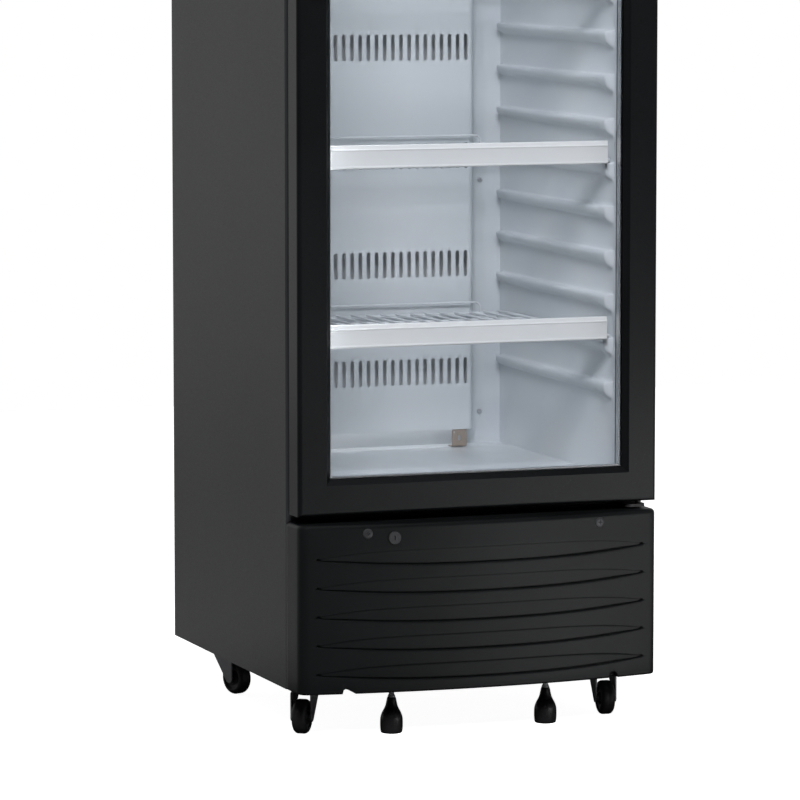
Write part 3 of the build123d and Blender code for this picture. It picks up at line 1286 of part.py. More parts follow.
def compressor():
    """Hermetic shell on its foot plate, with terminal box, stubs and rubber mounts."""
    x = COMPRESSOR_OFFSET
    y = Y_FRONT + COMPRESSOR_SETBACK
    z_pan = Z_BOTTOM + PAN_SHEET
    z0 = z_pan + COMPRESSOR_RAISE
    half_x = COMPRESSOR_FOOT_WIDTH / 2
    half_y = COMPRESSOR_FOOT_DEPTH / 2
    plate = block(x - half_x, x + half_x, y - half_y, y + half_y, z0, z0 + COMPRESSOR_PLATE)
    shell = rod_z(COMPRESSOR_RADIUS, x, y, z0 + COMPRESSOR_PLATE, z0 + COMPRESSOR_HEIGHT)
    shell = fillet(shell.faces().sort_by(Axis.Z)[-1].edges(), COMPRESSOR_DOME)
    seam = rod_z(COMPRESSOR_RADIUS + SEAM_REACH, x, y, z0 + SEAM_HEIGHT, z0 + SEAM_HEIGHT + SEAM_BAND)
    x_stub = x - COMPRESSOR_RADIUS - STUB_LENGTH
    stubs = [rod_x(STUB_RADIUS, x_stub, x, y + side * STUB_SPREAD, z0 + STUB_HEIGHT) for side in (-1, 1)]
    y_box = y + COMPRESSOR_RADIUS
    z_box = z0 + TERMINAL_BOTTOM
    terminal = block(x - TERMINAL_WIDTH / 2, x + TERMINAL_WIDTH / 2, y_box - TERMINAL_BITE,
                     y_box + TERMINAL_REACH, z_box, z_box + TERMINAL_HEIGHT)
    body = plate + shell + seam + stubs + terminal
    mounts = []
    for i in (-1, 1):
        for j in (-1, 1):
            gx = x + i * (half_x - GROMMET_INSET)
            gy = y + j * (half_y - GROMMET_INSET)
            mounts.append(rod_z(GROMMET_RADIUS, gx, gy, z_pan, z0))
    return [body] + mounts


def drain_pan():
    """Tray that evaporates the defrost water, on two feet that clear the caster bolts."""
    z_foot = Z_BOTTOM + PAN_SHEET
    z0 = z_foot + BOLT_LENGTH
    z1 = z0 + DRAIN_PAN_HEIGHT
    y = Y_FRONT + COMPRESSOR_SETBACK
    x0 = DRAIN_PAN_OFFSET - DRAIN_PAN_WIDTH / 2
    x1 = DRAIN_PAN_OFFSET + DRAIN_PAN_WIDTH / 2
    y0 = y - DRAIN_PAN_DEPTH / 2
    y1 = y + DRAIN_PAN_DEPTH / 2
    wall = DRAIN_PAN_WALL
    tray = block(x0, x1, y0, y1, z0, z1)
    tray -= block(x0 + wall, x1 - wall, y0 + wall, y1 - wall, z0 + wall, z1 + CUT)
    half = DRAIN_FOOT_WIDTH / 2
    for x in (x0 + DRAIN_FOOT_INSET, x1 - DRAIN_FOOT_INSET):
        tray += block(x - half, x + half, y0 + DRAIN_FOOT_SETBACK, y1 - DRAIN_FOOT_SETBACK,
                      z_foot, z0 + wall)
    return tray


def control_box():
    """Electrical box on its stand, to the right of the condenser."""
    z0 = Z_BOTTOM + PAN_SHEET
    z_box = z0 + CONTROL_BOX_RAISE
    z1 = z_box + CONTROL_BOX_HEIGHT
    x0 = CONTROL_BOX_OFFSET - CONTROL_BOX_WIDTH / 2
    x1 = x0 + CONTROL_BOX_WIDTH
    y0 = Y_FRONT + CONTROL_BOX_SETBACK
    y_box = y0 + PAN_SHEET
    stand = block(x0, x1, y0, y_box, z0, z1)
    box = block(x0, x1, y_box, y0 + CONTROL_BOX_DEPTH, z_box, z1)
    return stand + fillet(box.edges().filter_by(Axis.Y), CONTROL_BOX_EDGE)


def panel_screws():
    """Screws of the grille, the air duct and the rear cover."""
    pieces = []
    for side in (-1, 1):
        x = side * GRILLE_SCREW_OFFSET
        seat = bow_y(x) + SEAT_DEPTH
        length = Y_FRONT + FRONT_RAIL + SCREW_TAIL - seat
        pieces.append(screw_y(x, seat, Z_BOTTOM + GRILLE_SCREW_HEIGHT, length, GRILLE_SCREW_HEAD_RADIUS))
    for x, z in duct_screw_places():
        pieces.append(screw_y(x, Y_REAR_INNER - DUCT_SHEET, z, DUCT_SHEET + LINER))
    for x, z in rear_screw_places():
        pieces.append(screw_y(x, Y_REAR_COVER, z, SHEET + PAN_SHEET, towards=-1))
    return pieces


def build_nodes():
    lamp_list = lamps()
    nodes = {
        "side_panel_left": side_panel(-1),
        "side_panel_right": side_panel(1),
        "back_panel": back_panel(),
        "top_panel": top_panel(),
        "base_frame": base_frame(),
        "insulation": insulation(),
        "liner_side_left": liner_side(-1),
        "liner_side_right": liner_side(1),
        "liner_rear": liner_rear(),
        "liner_floor": liner_floor(),
        "liner_ceiling": liner_ceiling(),
        "throat_frame": throat_frame(),
        "air_duct_panel": air_duct_panel(),
        "duct_brackets": duct_brackets(),
        "evaporator_coil": evaporator_coil(),
        "evaporator_fan_frame": evaporator_fan_frame(),
        "evaporator_fan_blades": evaporator_fan_blades(),
        "price_strips": [price_strip(i) for i in range(SHELF_COUNT)],
        "lamp_housings": [housing for housing, _ in lamp_list],
        "lamp_diffusers": [lens for _, lens in lamp_list],
        "header_frame": header_frame(),
        "sign_panel": sign_panel(),
        "hinge_brackets": hinge_brackets(),
        "grille": grille(),
        "panel_screws": panel_screws(),
        "lock_barrel": lock_barrel(),
        "lock_plug": lock_plug(),
        "lock_cam": lock_cam(),
        "compressor": compressor(),
        "condenser_coil": condenser_coil(),
        "condenser_fan_shroud": condenser_fan_shroud(),
        "condenser_fan_blades": condenser_fan_blades(),
        "drain_pan": drain_pan(),
        "control_box": control_box(),
        "rear_cover": rear_cover(),
        "cord_inlet": cord_inlet(),
        "caster_plates": caster_plates(),
        "caster_bolts": caster_bolts(),
        "door_stile_left": door_stile(-1),
        "door_stile_right": door_stile(1),
        "door_rail_top": door_rail_top(),
        "door_rail_bottom": door_rail_bottom(),
        "glass_panes": glass_panes(),
        "glass_spacer": glass_spacer(),
        "door_gasket": door_gasket(),
        "door_handle": door_handle(),
    }
    for i in range(SHELF_COUNT):
        nodes[f"shelf_{i + 1}"] = wire_shelf(i)
    for name in CASTER_ANGLES:
        nodes[f"caster_fork_{name}"] = caster_fork(name)
        nodes[f"caster_wheel_{name}"] = caster_wheel(name)
    for name in foot_places():
        nodes[f"levelling_foot_{name}"] = levelling_foot(name)
    return nodes


def save(nodes):
    os.makedirs("parts", exist_ok=True)
    for name, shape in nodes.items():
        if isinstance(shape, list):
            shape = Compound(children=shape)
        export_step(shape, f"parts/{name}.step")


save(build_nodes())
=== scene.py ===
# Looks of the glass door merchandiser: materials, visual pieces, stage, lights and camera. In metres.
import math
import json
import bpy
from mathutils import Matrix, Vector
from mathutils.geometry import tessellate_polygon


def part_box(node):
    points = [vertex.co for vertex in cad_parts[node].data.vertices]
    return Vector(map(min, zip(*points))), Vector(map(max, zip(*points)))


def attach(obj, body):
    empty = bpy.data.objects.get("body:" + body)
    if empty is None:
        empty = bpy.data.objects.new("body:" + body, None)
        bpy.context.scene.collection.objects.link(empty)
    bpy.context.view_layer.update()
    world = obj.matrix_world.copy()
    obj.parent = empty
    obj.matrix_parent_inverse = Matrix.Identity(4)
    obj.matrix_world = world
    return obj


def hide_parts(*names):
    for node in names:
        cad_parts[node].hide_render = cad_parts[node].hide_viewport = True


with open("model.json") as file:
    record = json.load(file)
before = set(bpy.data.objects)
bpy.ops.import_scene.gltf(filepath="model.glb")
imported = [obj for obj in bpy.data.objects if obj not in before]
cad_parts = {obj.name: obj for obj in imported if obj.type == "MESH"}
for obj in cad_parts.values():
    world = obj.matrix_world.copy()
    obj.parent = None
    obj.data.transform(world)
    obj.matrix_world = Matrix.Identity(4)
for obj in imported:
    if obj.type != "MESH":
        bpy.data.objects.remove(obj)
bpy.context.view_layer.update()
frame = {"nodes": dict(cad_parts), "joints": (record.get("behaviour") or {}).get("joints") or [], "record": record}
scene = bpy.context.scene
NODES = frame["nodes"]
UP = Vector((0, 0, 1))


# ---- camera
def make_camera():
    data = bpy.data.cameras.new("camera")
    data.sensor_width = 36.0
    data.lens = 207.8
    data.clip_start = 0.1
    data.clip_end = 200.0
    camera = bpy.data.objects.new("camera", data)
    camera.location = (-2.396, -6.383, 1.189)
    camera.rotation_euler = (math.radians(83.841), 0.0, math.radians(-20.417))
    scene.collection.objects.link(camera)
    scene.camera = camera


# ---- node helpers
class Graph:
    """Short forms for building a node tree."""

    def __init__(self, tree):
        self.tree = tree

    def node(self, kind, **values):
        n = self.tree.nodes.new(kind)
        for key, value in values.items():
            if key in n.inputs:
                n.inputs[key].default_value = value
            else:
                setattr(n, key, value)
        return n

    def link(self, a, b):
        self.tree.links.new(a, b)

    def ramp(self, value, low, high, a=0.0, b=1.0):
        """Carries low..high over to a..b, and stays at the ends beyond them."""
        n = self.node("ShaderNodeMapRange")
        for key, number in (("From Min", low), ("From Max", high), ("To Min", a), ("To Max", b)):
            n.inputs[key].default_value = number
        self.link(value, n.inputs["Value"])
        return n.outputs["Result"]

    def mix(self, share, first, second, out):
        """Sends a mix of two shaders to the output; share is how much of the second shows."""
        n = self.node("ShaderNodeMixShader")
        self.link(share, n.inputs["Fac"])
        self.link(first, n.inputs[1])
        self.link(second, n.inputs[2])
        self.link(n.outputs["Shader"], out.inputs["Surface"])

    def seen_directly(self):
        return self.node("ShaderNodeLightPath").outputs["Is Camera Ray"]


class Shade(Graph):
    """A principled material whose detail comes from the object's own coordinates, in metres."""

    def __init__(self, name, colour, roughness, metallic=0.0, **sockets):
        self.material = bpy.data.materials.new(name)
        self.material.use_nodes = True
        super().__init__(self.material.node_tree)
        self.bsdf = self.tree.nodes["Principled BSDF"]
        self.out = self.tree.nodes["Material Output"]
        values = {"Base_Color": (*colour, 1.0), "Roughness": roughness, "Metallic": metallic, **sockets}
        for key, value in values.items():
            self.bsdf.inputs[key.replace("_", " ")].default_value = value
        self.colour = colour
        self.normal = None
        MATERIALS[name] = self.material

    def coords(self, scale=(1.0, 1.0, 1.0)):
        place = self.node("ShaderNodeTexCoord")
        mapping = self.node("ShaderNodeMapping")
        mapping.inputs["Scale"].default_value = scale
        self.link(place.outputs["Object"], mapping.inputs["Vector"])
        return mapping.outputs["Vector"]

    def noise(self, scale, detail=2.0, stretch=(1.0, 1.0, 1.0)):
        n = self.node("ShaderNodeTexNoise", Scale=scale, Detail=detail, Roughness=0.5)
        self.link(self.coords(stretch), n.inputs["Vector"])
        return n.outputs["Fac"]

    def voronoi(self, scale):
        n = self.node("ShaderNodeTexVoronoi", Scale=scale)
        self.link(self.coords(), n.inputs["Vector"])
        return n

    def blend(self, fac, a, b):
        """Colour between a and b, each of them a colour or an output."""
        n = self.node("ShaderNodeMix", data_type="RGBA")
        rgba = [s for s in n.inputs if s.type == "RGBA"]
        self.link(fac, n.inputs["Factor"])
        for socket, value in zip(rgba, (a, b)):
            if hasattr(value, "is_output"):
                self.link(value, socket)
            else:
                socket.default_value = (*value, 1.0)
        return [s for s in n.outputs if s.type == "RGBA"][0]

    def tint(self, fac, other, low=0.35, high=0.65):
        """Varies the colour between its own and another."""
        self.link(self.blend(self.ramp(fac, low, high), self.colour, other), self.bsdf.inputs["Base Color"])

    def gloss(self, fac, a, b, low=0.3, high=0.7):
        self.link(self.ramp(fac, low, high, a, b), self.bsdf.inputs["Roughness"])

    def bump(self, fac, strength, distance):
        """Adds relief on top of what the earlier calls made."""
        n = self.node("ShaderNodeBump", Strength=strength, Distance=distance)
        self.link(fac, n.inputs["Height"])
        if self.normal is not None:
            self.link(self.normal, n.inputs["Normal"])
        self.normal = n.outputs["Normal"]
        self.link(self.normal, self.bsdf.inputs["Normal"])


def scaled(colour, k):
    return tuple(min(1.0, c * k) for c in colour)


def grey(value):
    return (value, value, value)


# ---- materials
MATERIALS = {}


def surface(name, colour, roughness, noises, other, gloss, bumps, **sockets):
    """Skin with a drift of colour from its broad noise and a grain in its gloss from its fine one."""
    s = Shade(name, colour, roughness, **sockets)
    noise = {key: s.noise(*values) for key, values in noises.items()}
    s.tint(noise["broad"], other)
    s.gloss(noise["fine"], *gloss)
    for key, strength, distance in bumps:
        s.bump(noise[key], strength, distance)


def simple(name, colour, roughness, grain=500.0, depth=0.0003, vary=0.85):
    surface(name, colour, roughness, {"fine": (grain, 3.0), "broad": (12.0, 3.0)}, scaled(colour, vary),
            (roughness * 0.85, min(1.0, roughness * 1.2)), [("fine", 0.15, depth)])


def brushed(name, colour, roughness, stretch=(1.0, 1.0, 1.0), metallic=1.0):
    """Metal whose marks run along the axes that stretch makes small."""
    s = Shade(name, colour, roughness, metallic)
    lines = s.noise(900.0, 2.0, stretch)
    s.tint(lines, scaled(colour, 0.9))
    s.gloss(lines, roughness * 0.8, roughness * 1.3)
    s.bump(lines, 0.08, 0.0002)


def dark_plastic():
    s = Shade("dark_plastic", (0.0030, 0.0034, 0.0036), 0.38, Specular_IOR_Level=0.30)
    grain = s.voronoi(1400.0).outputs["Distance"]
    s.tint(s.noise(6.0, 3.0), scaled(s.colour, 1.5))
    s.gloss(grain, 0.33, 0.43, 0.1, 0.7)
    s.bump(grain, 0.16, 0.0003)


def white_wire():
    s = Shade("white_wire", (0.72, 0.74, 0.76), 0.30, Coat_Weight=0.3, Coat_Roughness=0.15)
    lumps = s.noise(160.0)
    s.tint(lumps, (0.66, 0.69, 0.71))
    s.bump(lumps, 0.2, 0.0006)


def ticket_strip():
    s = Shade("ticket_strip", (0.87, 0.89, 0.88), 0.26, Coat_Weight=0.4, Coat_Roughness=0.1)
    s.tint(s.noise(7.0), (0.83, 0.86, 0.86))
    s.bump(s.noise(300.0, 2.0, (0.02, 1.0, 1.0)), 0.10, 0.0003)


def galvanised():
    s = Shade("galvanised_sheet", (0.44, 0.45, 0.46), 0.38, 0.9)
    tone = s.node("ShaderNodeSeparateColor")
    s.link(s.voronoi(95.0).outputs["Color"], tone.inputs["Color"])
    s.tint(tone.outputs["Red"], (0.56, 0.57, 0.58), 0.0, 1.0)
    s.gloss(tone.outputs["Green"], 0.30, 0.48, 0.0, 1.0)
    s.bump(s.noise(500.0), 0.06, 0.0003)


def clear_glass():
    """Reflects more the flatter it is seen, and lets the rest straight through."""
    s = Shade("clear_glass", (0.02, 0.025, 0.025), 0.03, IOR=1.5)
    s.gloss(s.noise(14.0), 0.02, 0.05)
    clear = s.node("ShaderNodeBsdfTransparent", Color=(0.945, 0.947, 0.955, 1.0))
    weight = s.node("ShaderNodeLayerWeight", Blend=0.12)
    share = s.ramp(weight.outputs["Fresnel"], 0.0, 1.0, 0.035, 0.85)
    s.mix(share, clear.outputs["BSDF"], s.bsdf.outputs["BSDF"], s.out)


def lamp_lens():
    glow = (0.90, 0.96, 1.0, 1.0)
    s = Shade("lamp_lens", (0.92, 0.93, 0.93), 0.45, Emission_Color=glow, Emission_Strength=2.2)
    s.bump(s.noise(900.0), 0.2, 0.0003)
    s.tint(s.noise(40.0), (0.86, 0.89, 0.90))


def build_materials():
    coat, profile = (0.019, 0.020, 0.0215), (0.0030, 0.0034, 0.0037)
    surface("black_sheet", coat, 0.42, {"fine": (900.0, 3.0), "broad": (3.0, 3.0)},
            scaled(coat, 0.82), (0.36, 0.50), [("fine", 0.18, 0.0004), ("broad", 0.05, 0.01)],
            Specular_IOR_Level=0.52)
    surface("door_profile", profile, 0.31, {"fine": (700.0, 3.0), "broad": (5.0, 2.0)},
            scaled(profile, 1.35), (0.27, 0.35), [("fine", 0.08, 0.0002)], Specular_IOR_Level=0.27)
    surface("white_liner", (0.64, 0.67, 0.69), 0.28, {"fine": (260.0, 2.0), "broad": (9.0, 2.0)},
            (0.61, 0.65, 0.68), (0.28, 0.31), [("broad", 0.05, 0.002), ("fine", 0.008, 0.0002)])
    surface("white_duct", (0.65, 0.68, 0.70), 0.40, {"fine": (800.0, 2.0), "broad": (4.0, 2.0)},
            (0.62, 0.66, 0.68), (0.38, 0.42), [("fine", 0.03, 0.0001)])
    for build in (dark_plastic, white_wire, ticket_strip, galvanised, clear_glass, lamp_lens):
        build()
    simple("foam", (0.72, 0.62, 0.36), 0.9, grain=300.0, depth=0.002)
    simple("gasket_rubber", (0.018, 0.018, 0.02), 0.62, grain=400.0)
    simple("bracket_tan", (0.36, 0.30, 0.25), 0.45)
    simple("lamp_body", (0.78, 0.79, 0.79), 0.35, vary=0.95)
    simple("sign_white", (0.66, 0.67, 0.68), 0.32, grain=700.0, vary=0.97)
    simple("hinge_steel", (0.02, 0.02, 0.022), 0.4)
    simple("compressor_black", (0.012, 0.012, 0.013), 0.28, grain=200.0, depth=0.0005)
    simple("fan_plastic", (0.02, 0.02, 0.022), 0.5)
    simple("pan_plastic", (0.05, 0.052, 0.055), 0.5)
    simple("box_plastic", (0.30, 0.31, 0.32), 0.5)
    simple("gland_rubber", (0.012, 0.012, 0.012), 0.6)
    simple("wheel_rubber", (0.012, 0.012, 0.013), 0.5, grain=300.0)
    simple("foot_plastic", (0.010, 0.010, 0.011), 0.30, grain=600.0)
    brushed("spacer_bar", (0.55, 0.56, 0.57), 0.3)
    brushed("bright_screws", (0.60, 0.61, 0.63), 0.28, metallic=0.4)
    brushed("dark_screws", (0.038, 0.039, 0.041), 0.34, metallic=0.4)
    brushed("lock_metal", (0.036, 0.037, 0.039), 0.34, metallic=0.5)
    brushed("coil_aluminium", (0.60, 0.62, 0.64), 0.35, (1.0, 0.05, 0.05))
    brushed("fan_metal", (0.55, 0.56, 0.57), 0.3, (1.0, 0.1, 1.0))
    brushed("caster_zinc", (0.24, 0.245, 0.255), 0.34, (1.0, 1.0, 0.1), metallic=0.45)


def dress_frame():
    """Every CAD node gets the material of its slot."""
    slot_of = {s["node"]: s["material_slot"] for s in frame["record"]["subparts"]}
    for name, obj in NODES.items():
        obj.data.materials.clear()
        obj.data.materials.append(MATERIALS[slot_of[name]])


def piece(name, verts, faces, material):
    mesh = bpy.data.meshes.new(name)
    mesh.from_pydata(verts, [], faces)
    mesh.materials.append(MATERIALS[material])
    mesh.polygons.foreach_set("use_smooth", [True] * len(mesh.polygons))
    mesh.update()
    obj = bpy.data.objects.new(name, mesh)
    scene.collection.objects.link(obj)
    return obj


def modifier(obj, kind, **values):
    m = obj.modifiers.new(kind.lower(), kind)
    for key, value in values.items():
        setattr(m, key, value)


def crease(obj, degrees):
    """Hard shading at edges that bend by more than the angle."""
    modifier(obj, "EDGE_SPLIT", split_angle=math.radians(degrees))


def thicken(obj, thickness, offset=-1.0, **values):
    modifier(obj, "SOLIDIFY", thickness=thickness, offset=offset, **values)


def grid_faces(rows, columns, closed=False):
    """Quads of a grid stored row by row."""
    faces = []
    for r in range(rows - 1):
        for c in range(columns if closed else columns - 1):
            d = (c + 1) % columns
            faces.append((r * columns + c, r * columns + d, (r + 1) * columns + d, (r + 1) * columns + c))
    return faces


def capped(rows, columns):
    """Faces of a tube of rings, with both of its ends filled."""
    ends = [tuple(range(columns - 1, -1, -1)), tuple(range((rows - 1) * columns, rows * columns))]
    return grid_faces(rows, columns, closed=True) + ends


def flipped(faces):
    return [tuple(reversed(f)) for f in faces]


def by_rows(columns):
    """Vertices of equally long columns, row by row."""
    return [column[r] for r in range(len(columns[0])) for column in columns]


def carried(places, section):
    """Open sheet with a section of (y, z) points, carried to each place along X."""
    return [(x, y, z) for x in places for y, z in section], grid_faces(len(places), len(section))


def spread(a, b, count):
    """Values from a to b with count equal gaps."""
    return [a + (b - a) * i / count for i in range(count + 1)]


def ease(t):
    t = min(1.0, max(0.0, t))
    return t * t * (3.0 - 2.0 * t)


def profile_at(points, t):
    """Value of a piecewise straight curve given as (place, value) pairs."""
    if t <= points[0][0]:
        return points[0][1]
    for (a, va), (b, vb) in zip(points, points[1:]):
        if t <= b:
            return va + (vb - va) * (t - a) / (b - a)
    return points[-1][1]


def arc(cx, cy, radius, a0, a1, steps):
    """Points of an arc, angles in degrees."""
    turns = [math.radians(a) for a in spread(a0, a1, steps)]
    return [(cx + radius * math.cos(a), cy + radius * math.sin(a)) for a in turns]


def rounded(x0, x1, y0, y1, radius, steps):
    """Rectangle with round corners, from the corner at x1 and y1 on."""
    right, left, back, front = x1 - radius, x0 + radius, y1 - radius, y0 + radius
    return (arc(right, back, radius, 0, 90, steps) + arc(left, back, radius, 90, 180, steps)
            + arc(left, front, radius, 180, 270, steps) + arc(right, front, radius, 270, 360, steps))


def stadium(x, z0, width, height):
    r = width / 2
    return arc(x, z0 + height - r, r, 0, 180, 6) + arc(x, z0 + r, r, 180, 360, 6)


def lathe(profile, segments, closed=False):
    """Turns (radius, height) points about local Z. Points with no radius become a pole."""
    verts = []
    faces = []
    rings = []
    for radius, height in profile:
        if radius < 1e-7:
            rings.append([len(verts)])
            verts.append((0.0, 0.0, height))
            continue
        rings.append(list(range(len(verts), len(verts) + segments)))
        for i in range(segments):
            a = 2 * math.pi * i / segments
            verts.append((radius * math.cos(a), radius * math.sin(a), height))
    pairs = list(zip(rings, rings[1:]))
    if closed:
        pairs.append((rings[-1], rings[0]))
    for a, b in pairs:
        for i in range(segments):
            j = (i + 1) % segments
            if len(a) == 1 and len(b) == 1:
                continue
            if len(a) == 1:
                faces.append((a[0], b[j], b[i]))
            elif len(b) == 1:
                faces.append((a[i], a[j], b[0]))
            else:
                faces.append((a[i], a[j], b[j], b[i]))
    return verts, faces


def placed(verts, origin, x_axis, y_axis, z_axis):
    o = Vector(origin)
    x, y, z = Vector(x_axis), Vector(y_axis), Vector(z_axis)
    return [tuple(o + x * v[0] + y * v[1] + z * v[2]) for v in verts]


def moved(verts, x, y):
    return [(vx + x, vy + y, vz) for vx, vy, vz in verts]


def box_of(points):
    """Lowest and highest corner of the box around some points."""
    return [Vector([pick(p[i] for p in points) for i in range(3)]) for pick in (min, max)]


class Parts:
    """Collects several closed shapes into one piece."""

    def __init__(self):
        self.verts = []
        self.faces = []

    def add(self, verts, faces):
        base = len(self.verts)
        self.verts += [tuple(v) for v in verts]
        self.faces += [tuple(base + i for i in f) for f in faces]

    def piece(self, name, material):
        return piece(name, self.verts, self.faces, material)


def islands(mesh):
    """Vertex places of each connected solid of a mesh."""
    parent = list(range(len(mesh.vertices)))

    def root(i):
        while parent[i] != i:
            parent[i] = parent[parent[i]]
            i = parent[i]
        return i

    def join(i, j):
        a, b = root(i), root(j)
        if a != b:
            parent[a] = b

    for edge in mesh.edges:
        join(*edge.vertices)
    near = {}
    for i, v in enumerate(mesh.vertices):
        key = (round(v.co.x, 5), round(v.co.y, 5), round(v.co.z, 5))
        if key in near:
            join(i, near[key])
        else:
            near[key] = i
    groups = {}
    for i, v in enumerate(mesh.vertices):
        groups.setdefault(root(i), []).append(v.co.copy())
    return list(groups.values())


# ---- bowed cover
class Bow:
    """Plan outline of a bowed front cover: sides, rounded corners and one shallow arc."""

    DEPTH = 0.058
    CORNER = 0.016
    STEP = 0.003
    NEAREST = 0.00005

    def __init__(self, node):
        low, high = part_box(node)
        self.half = high.x
        self.back = high.y
        bow = self.back - self.DEPTH - low.y
        self.radius = (self.half ** 2 + bow ** 2) / (2 * bow)
        self.centre = low.y + self.radius
        inner = self.radius - self.CORNER
        self.corner_x = self.half - self.CORNER
        self.turn = math.asin(self.corner_x / inner)
        self.corner_y = self.centre - inner * math.cos(self.turn)

    def face_y(self, x):
        return self.centre - math.sqrt(self.radius ** 2 - x * x)

    def outline(self, extra):
        """(x, y, outward normal) from the right back edge to the left back edge."""
        half = [(self.half, y, 1.0, 0.0) for y in spread(self.back, self.corner_y, 6)[:-1]]
        for a in spread(0.0, math.pi / 2 - self.turn, 10)[:-1]:
            x = self.corner_x + self.CORNER * math.cos(a)
            y = self.corner_y - self.CORNER * math.sin(a)
            half.append((x, y, math.cos(a), -math.sin(a)))
        edge = self.radius * math.sin(self.turn)
        count = int(edge / self.STEP)
        places = [edge * (1 - i / count) for i in range(count + 1)]
        places = sorted(set(places) | set(extra), reverse=True)
        kept = [places[0]]
        for x in places[1:]:
            if kept[-1] - x > self.NEAREST:
                kept.append(x)
        for x in kept:
            s = x / self.radius
            half.append((x, self.face_y(x), s, -math.sqrt(1 - s * s)))
        return half + [(-x, y, -nx, ny) for x, y, nx, ny in reversed(half[:-1])]


LOUVRES = {"count": 5, "first": 0.0272, "pitch": 0.0412, "half": 0.2525, "rise": 0.0128, "sag": 0.0104,
           "low_power": 2.7, "high_power": 4.5, "end": 0.0012, "least": 0.0016, "full": 0.012}

# (offset, depth) about a louvre's lower edge, from below the slit to its floor, then about its upper edge
SLIT_ROWS = [(-0.0040, 0.0), (-0.0012, 0.00004), (-0.0004, 0.0003), (0.0, 0.0011), (0.0002, 0.0042)]
UPPER_ROWS = [(-0.0028, 0.0013), (-0.0012, 0.0010), (-0.0004, 0.00045), (0.0003, 0.0001), (0.0012, 0.0),
              (0.0040, 0.0)]
DISH_ROWS = [0.12, 0.3, 0.5, 0.7, 0.86]
SLIT_DEPTH, DISH_DEPTH = 0.0042, 0.0020
# slit: opening in the middle, what it gains towards the ends, lip above it, lift at its tips, least dish
SLIT_OPEN, SLIT_GAIN, SLIT_LIP, SLIT_LIFT, LEAST_DISH = 0.0010, 0.0012, 0.0005, 0.0020, 0.0008
LOWER_EDGE = [(0.0, 0.0012), (0.0012, 0.0004), (0.0030, 0.0)]
UNDER_TOP = (0.020, 0.012, 0.008)
# (place, width) along the cover where louvres fade out, dishes soften, and a slit's tip begins and ends
FADE, SOFTEN = (0.2505, 0.003), (0.20, 0.0525)
TIP_IN, TIP_OUT = (0.2455, 0.0015), (0.2500, 0.0015)

WEDGE_LEFT = -0.2140
WEDGE = [(0, 0), (0.0016, 0.0058), (0.004, 0.0072), (0.0075, 0.0064), (0.019, 0.0)]
NOTCH_CENTRE, NOTCH_HALF, NOTCH_HEIGHT = 0.2025, 0.0072, 0.0080
NOTCH_STEPS = [0.0, 0.002, 0.004, 0.0055, 0.0066, 0.0070, 0.0072, 0.0073]
# places along the cover that need a column of vertices: both notches and the ends of the louvres
COVER_PLACES = [NOTCH_CENTRE + side * step for step in NOTCH_STEPS for side in (-1, 1)]
COVER_PLACES += [0.1950, 0.1990, 0.2065, 0.2100, 0.2124, 0.2140, 0.2141, 0.2505, 0.2525]


def louvre_edges(index, x, base):
    """Lower and upper edge of one louvre at x."""
    k = LOUVRES
    z = base + k["first"] + index * k["pitch"]
    t = min(abs(x), k["half"]) / k["half"]
    low = z - k["sag"] * (1 - t ** k["low_power"])
    high = z + k["rise"] - (k["rise"] - k["end"]) * t ** k["high_power"]
    return low, max(high, low + k["least"])


def notch_height(x):
    """Finger notches in the lower edge: a wedge on the left and a half round on the right."""
    t = x - WEDGE_LEFT
    if 0 <= t <= WEDGE[-1][0]:
        return profile_at(WEDGE, t)
    t = abs(x - NOTCH_CENTRE) / NOTCH_HALF
    return NOTCH_HEIGHT * math.sqrt(1 - t * t) if t < 1 else 0.0


def past(x, start, width):
    """0 up to a place on either half of the cover, 1 from a width after it."""
    return ease((abs(x) - start) / width)


def grille_column(x, base, top):
    """(height, depth) rows of the grille at x, from the lower edge to the start of the top's rounding."""
    notch = notch_height(x)
    rows = [(base + rise + notch, depth) for rise, depth in LOWER_EDGE]
    fade = 1.0 - past(x, *FADE)
    soft = 1.0 - past(x, *SOFTEN) * 0.6
    slit = SLIT_OPEN + SLIT_GAIN * (abs(x) / LOUVRES["half"]) ** 2
    tip = past(x, *TIP_IN) * (1.0 - past(x, *TIP_OUT))
    for i in range(LOUVRES["count"]):
        low, high = louvre_edges(i, x, base)
        k = min(1.0, max(0.12, (high - low) / LOUVRES["full"]))
        narrow = max(k, 0.4)
        slot = low + slit * narrow + SLIT_LIFT * tip
        start = slot + SLIT_LIP * narrow
        high = max(high, start + LEAST_DISH)
        for offset, depth in SLIT_ROWS:
            rows.append((low + (offset if offset < -0.001 else offset * max(k, 0.5)), depth * fade))
        rows.append((slot, SLIT_DEPTH * fade))
        rows.append((start, DISH_DEPTH * fade * soft))
        end_offset, end_depth = UPPER_ROWS[0]
        end = high + end_offset * k
        for t in DISH_ROWS:
            depth = DISH_DEPTH + (end_depth - DISH_DEPTH) * t
            rows.append((start + (end - start) * t, depth * fade * soft))
        for offset, depth in UPPER_ROWS:
            rows.append((high + (offset * k if offset < 0.002 else offset), depth * fade * soft))
    return rows + [(top - down, 0.0) for down in UNDER_TOP]


def cam_slot():
    """Outline of the slot in the cover's top that the lock's cam rises through."""
    gap, corner = 0.0018, 0.0012
    low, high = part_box("lock_cam")
    return rounded(low.x - gap, high.x + gap, low.y - gap, high.y + gap, corner, 4)


def upward(face, verts):
    """The same triangle, turned so that its normal points up."""
    a, b, c = (verts[i] for i in face)
    area = (b[0] - a[0]) * (c[1] - a[1]) - (c[0] - a[0]) * (b[1] - a[1])
    return tuple(face) if area > 0 else tuple(reversed(face))


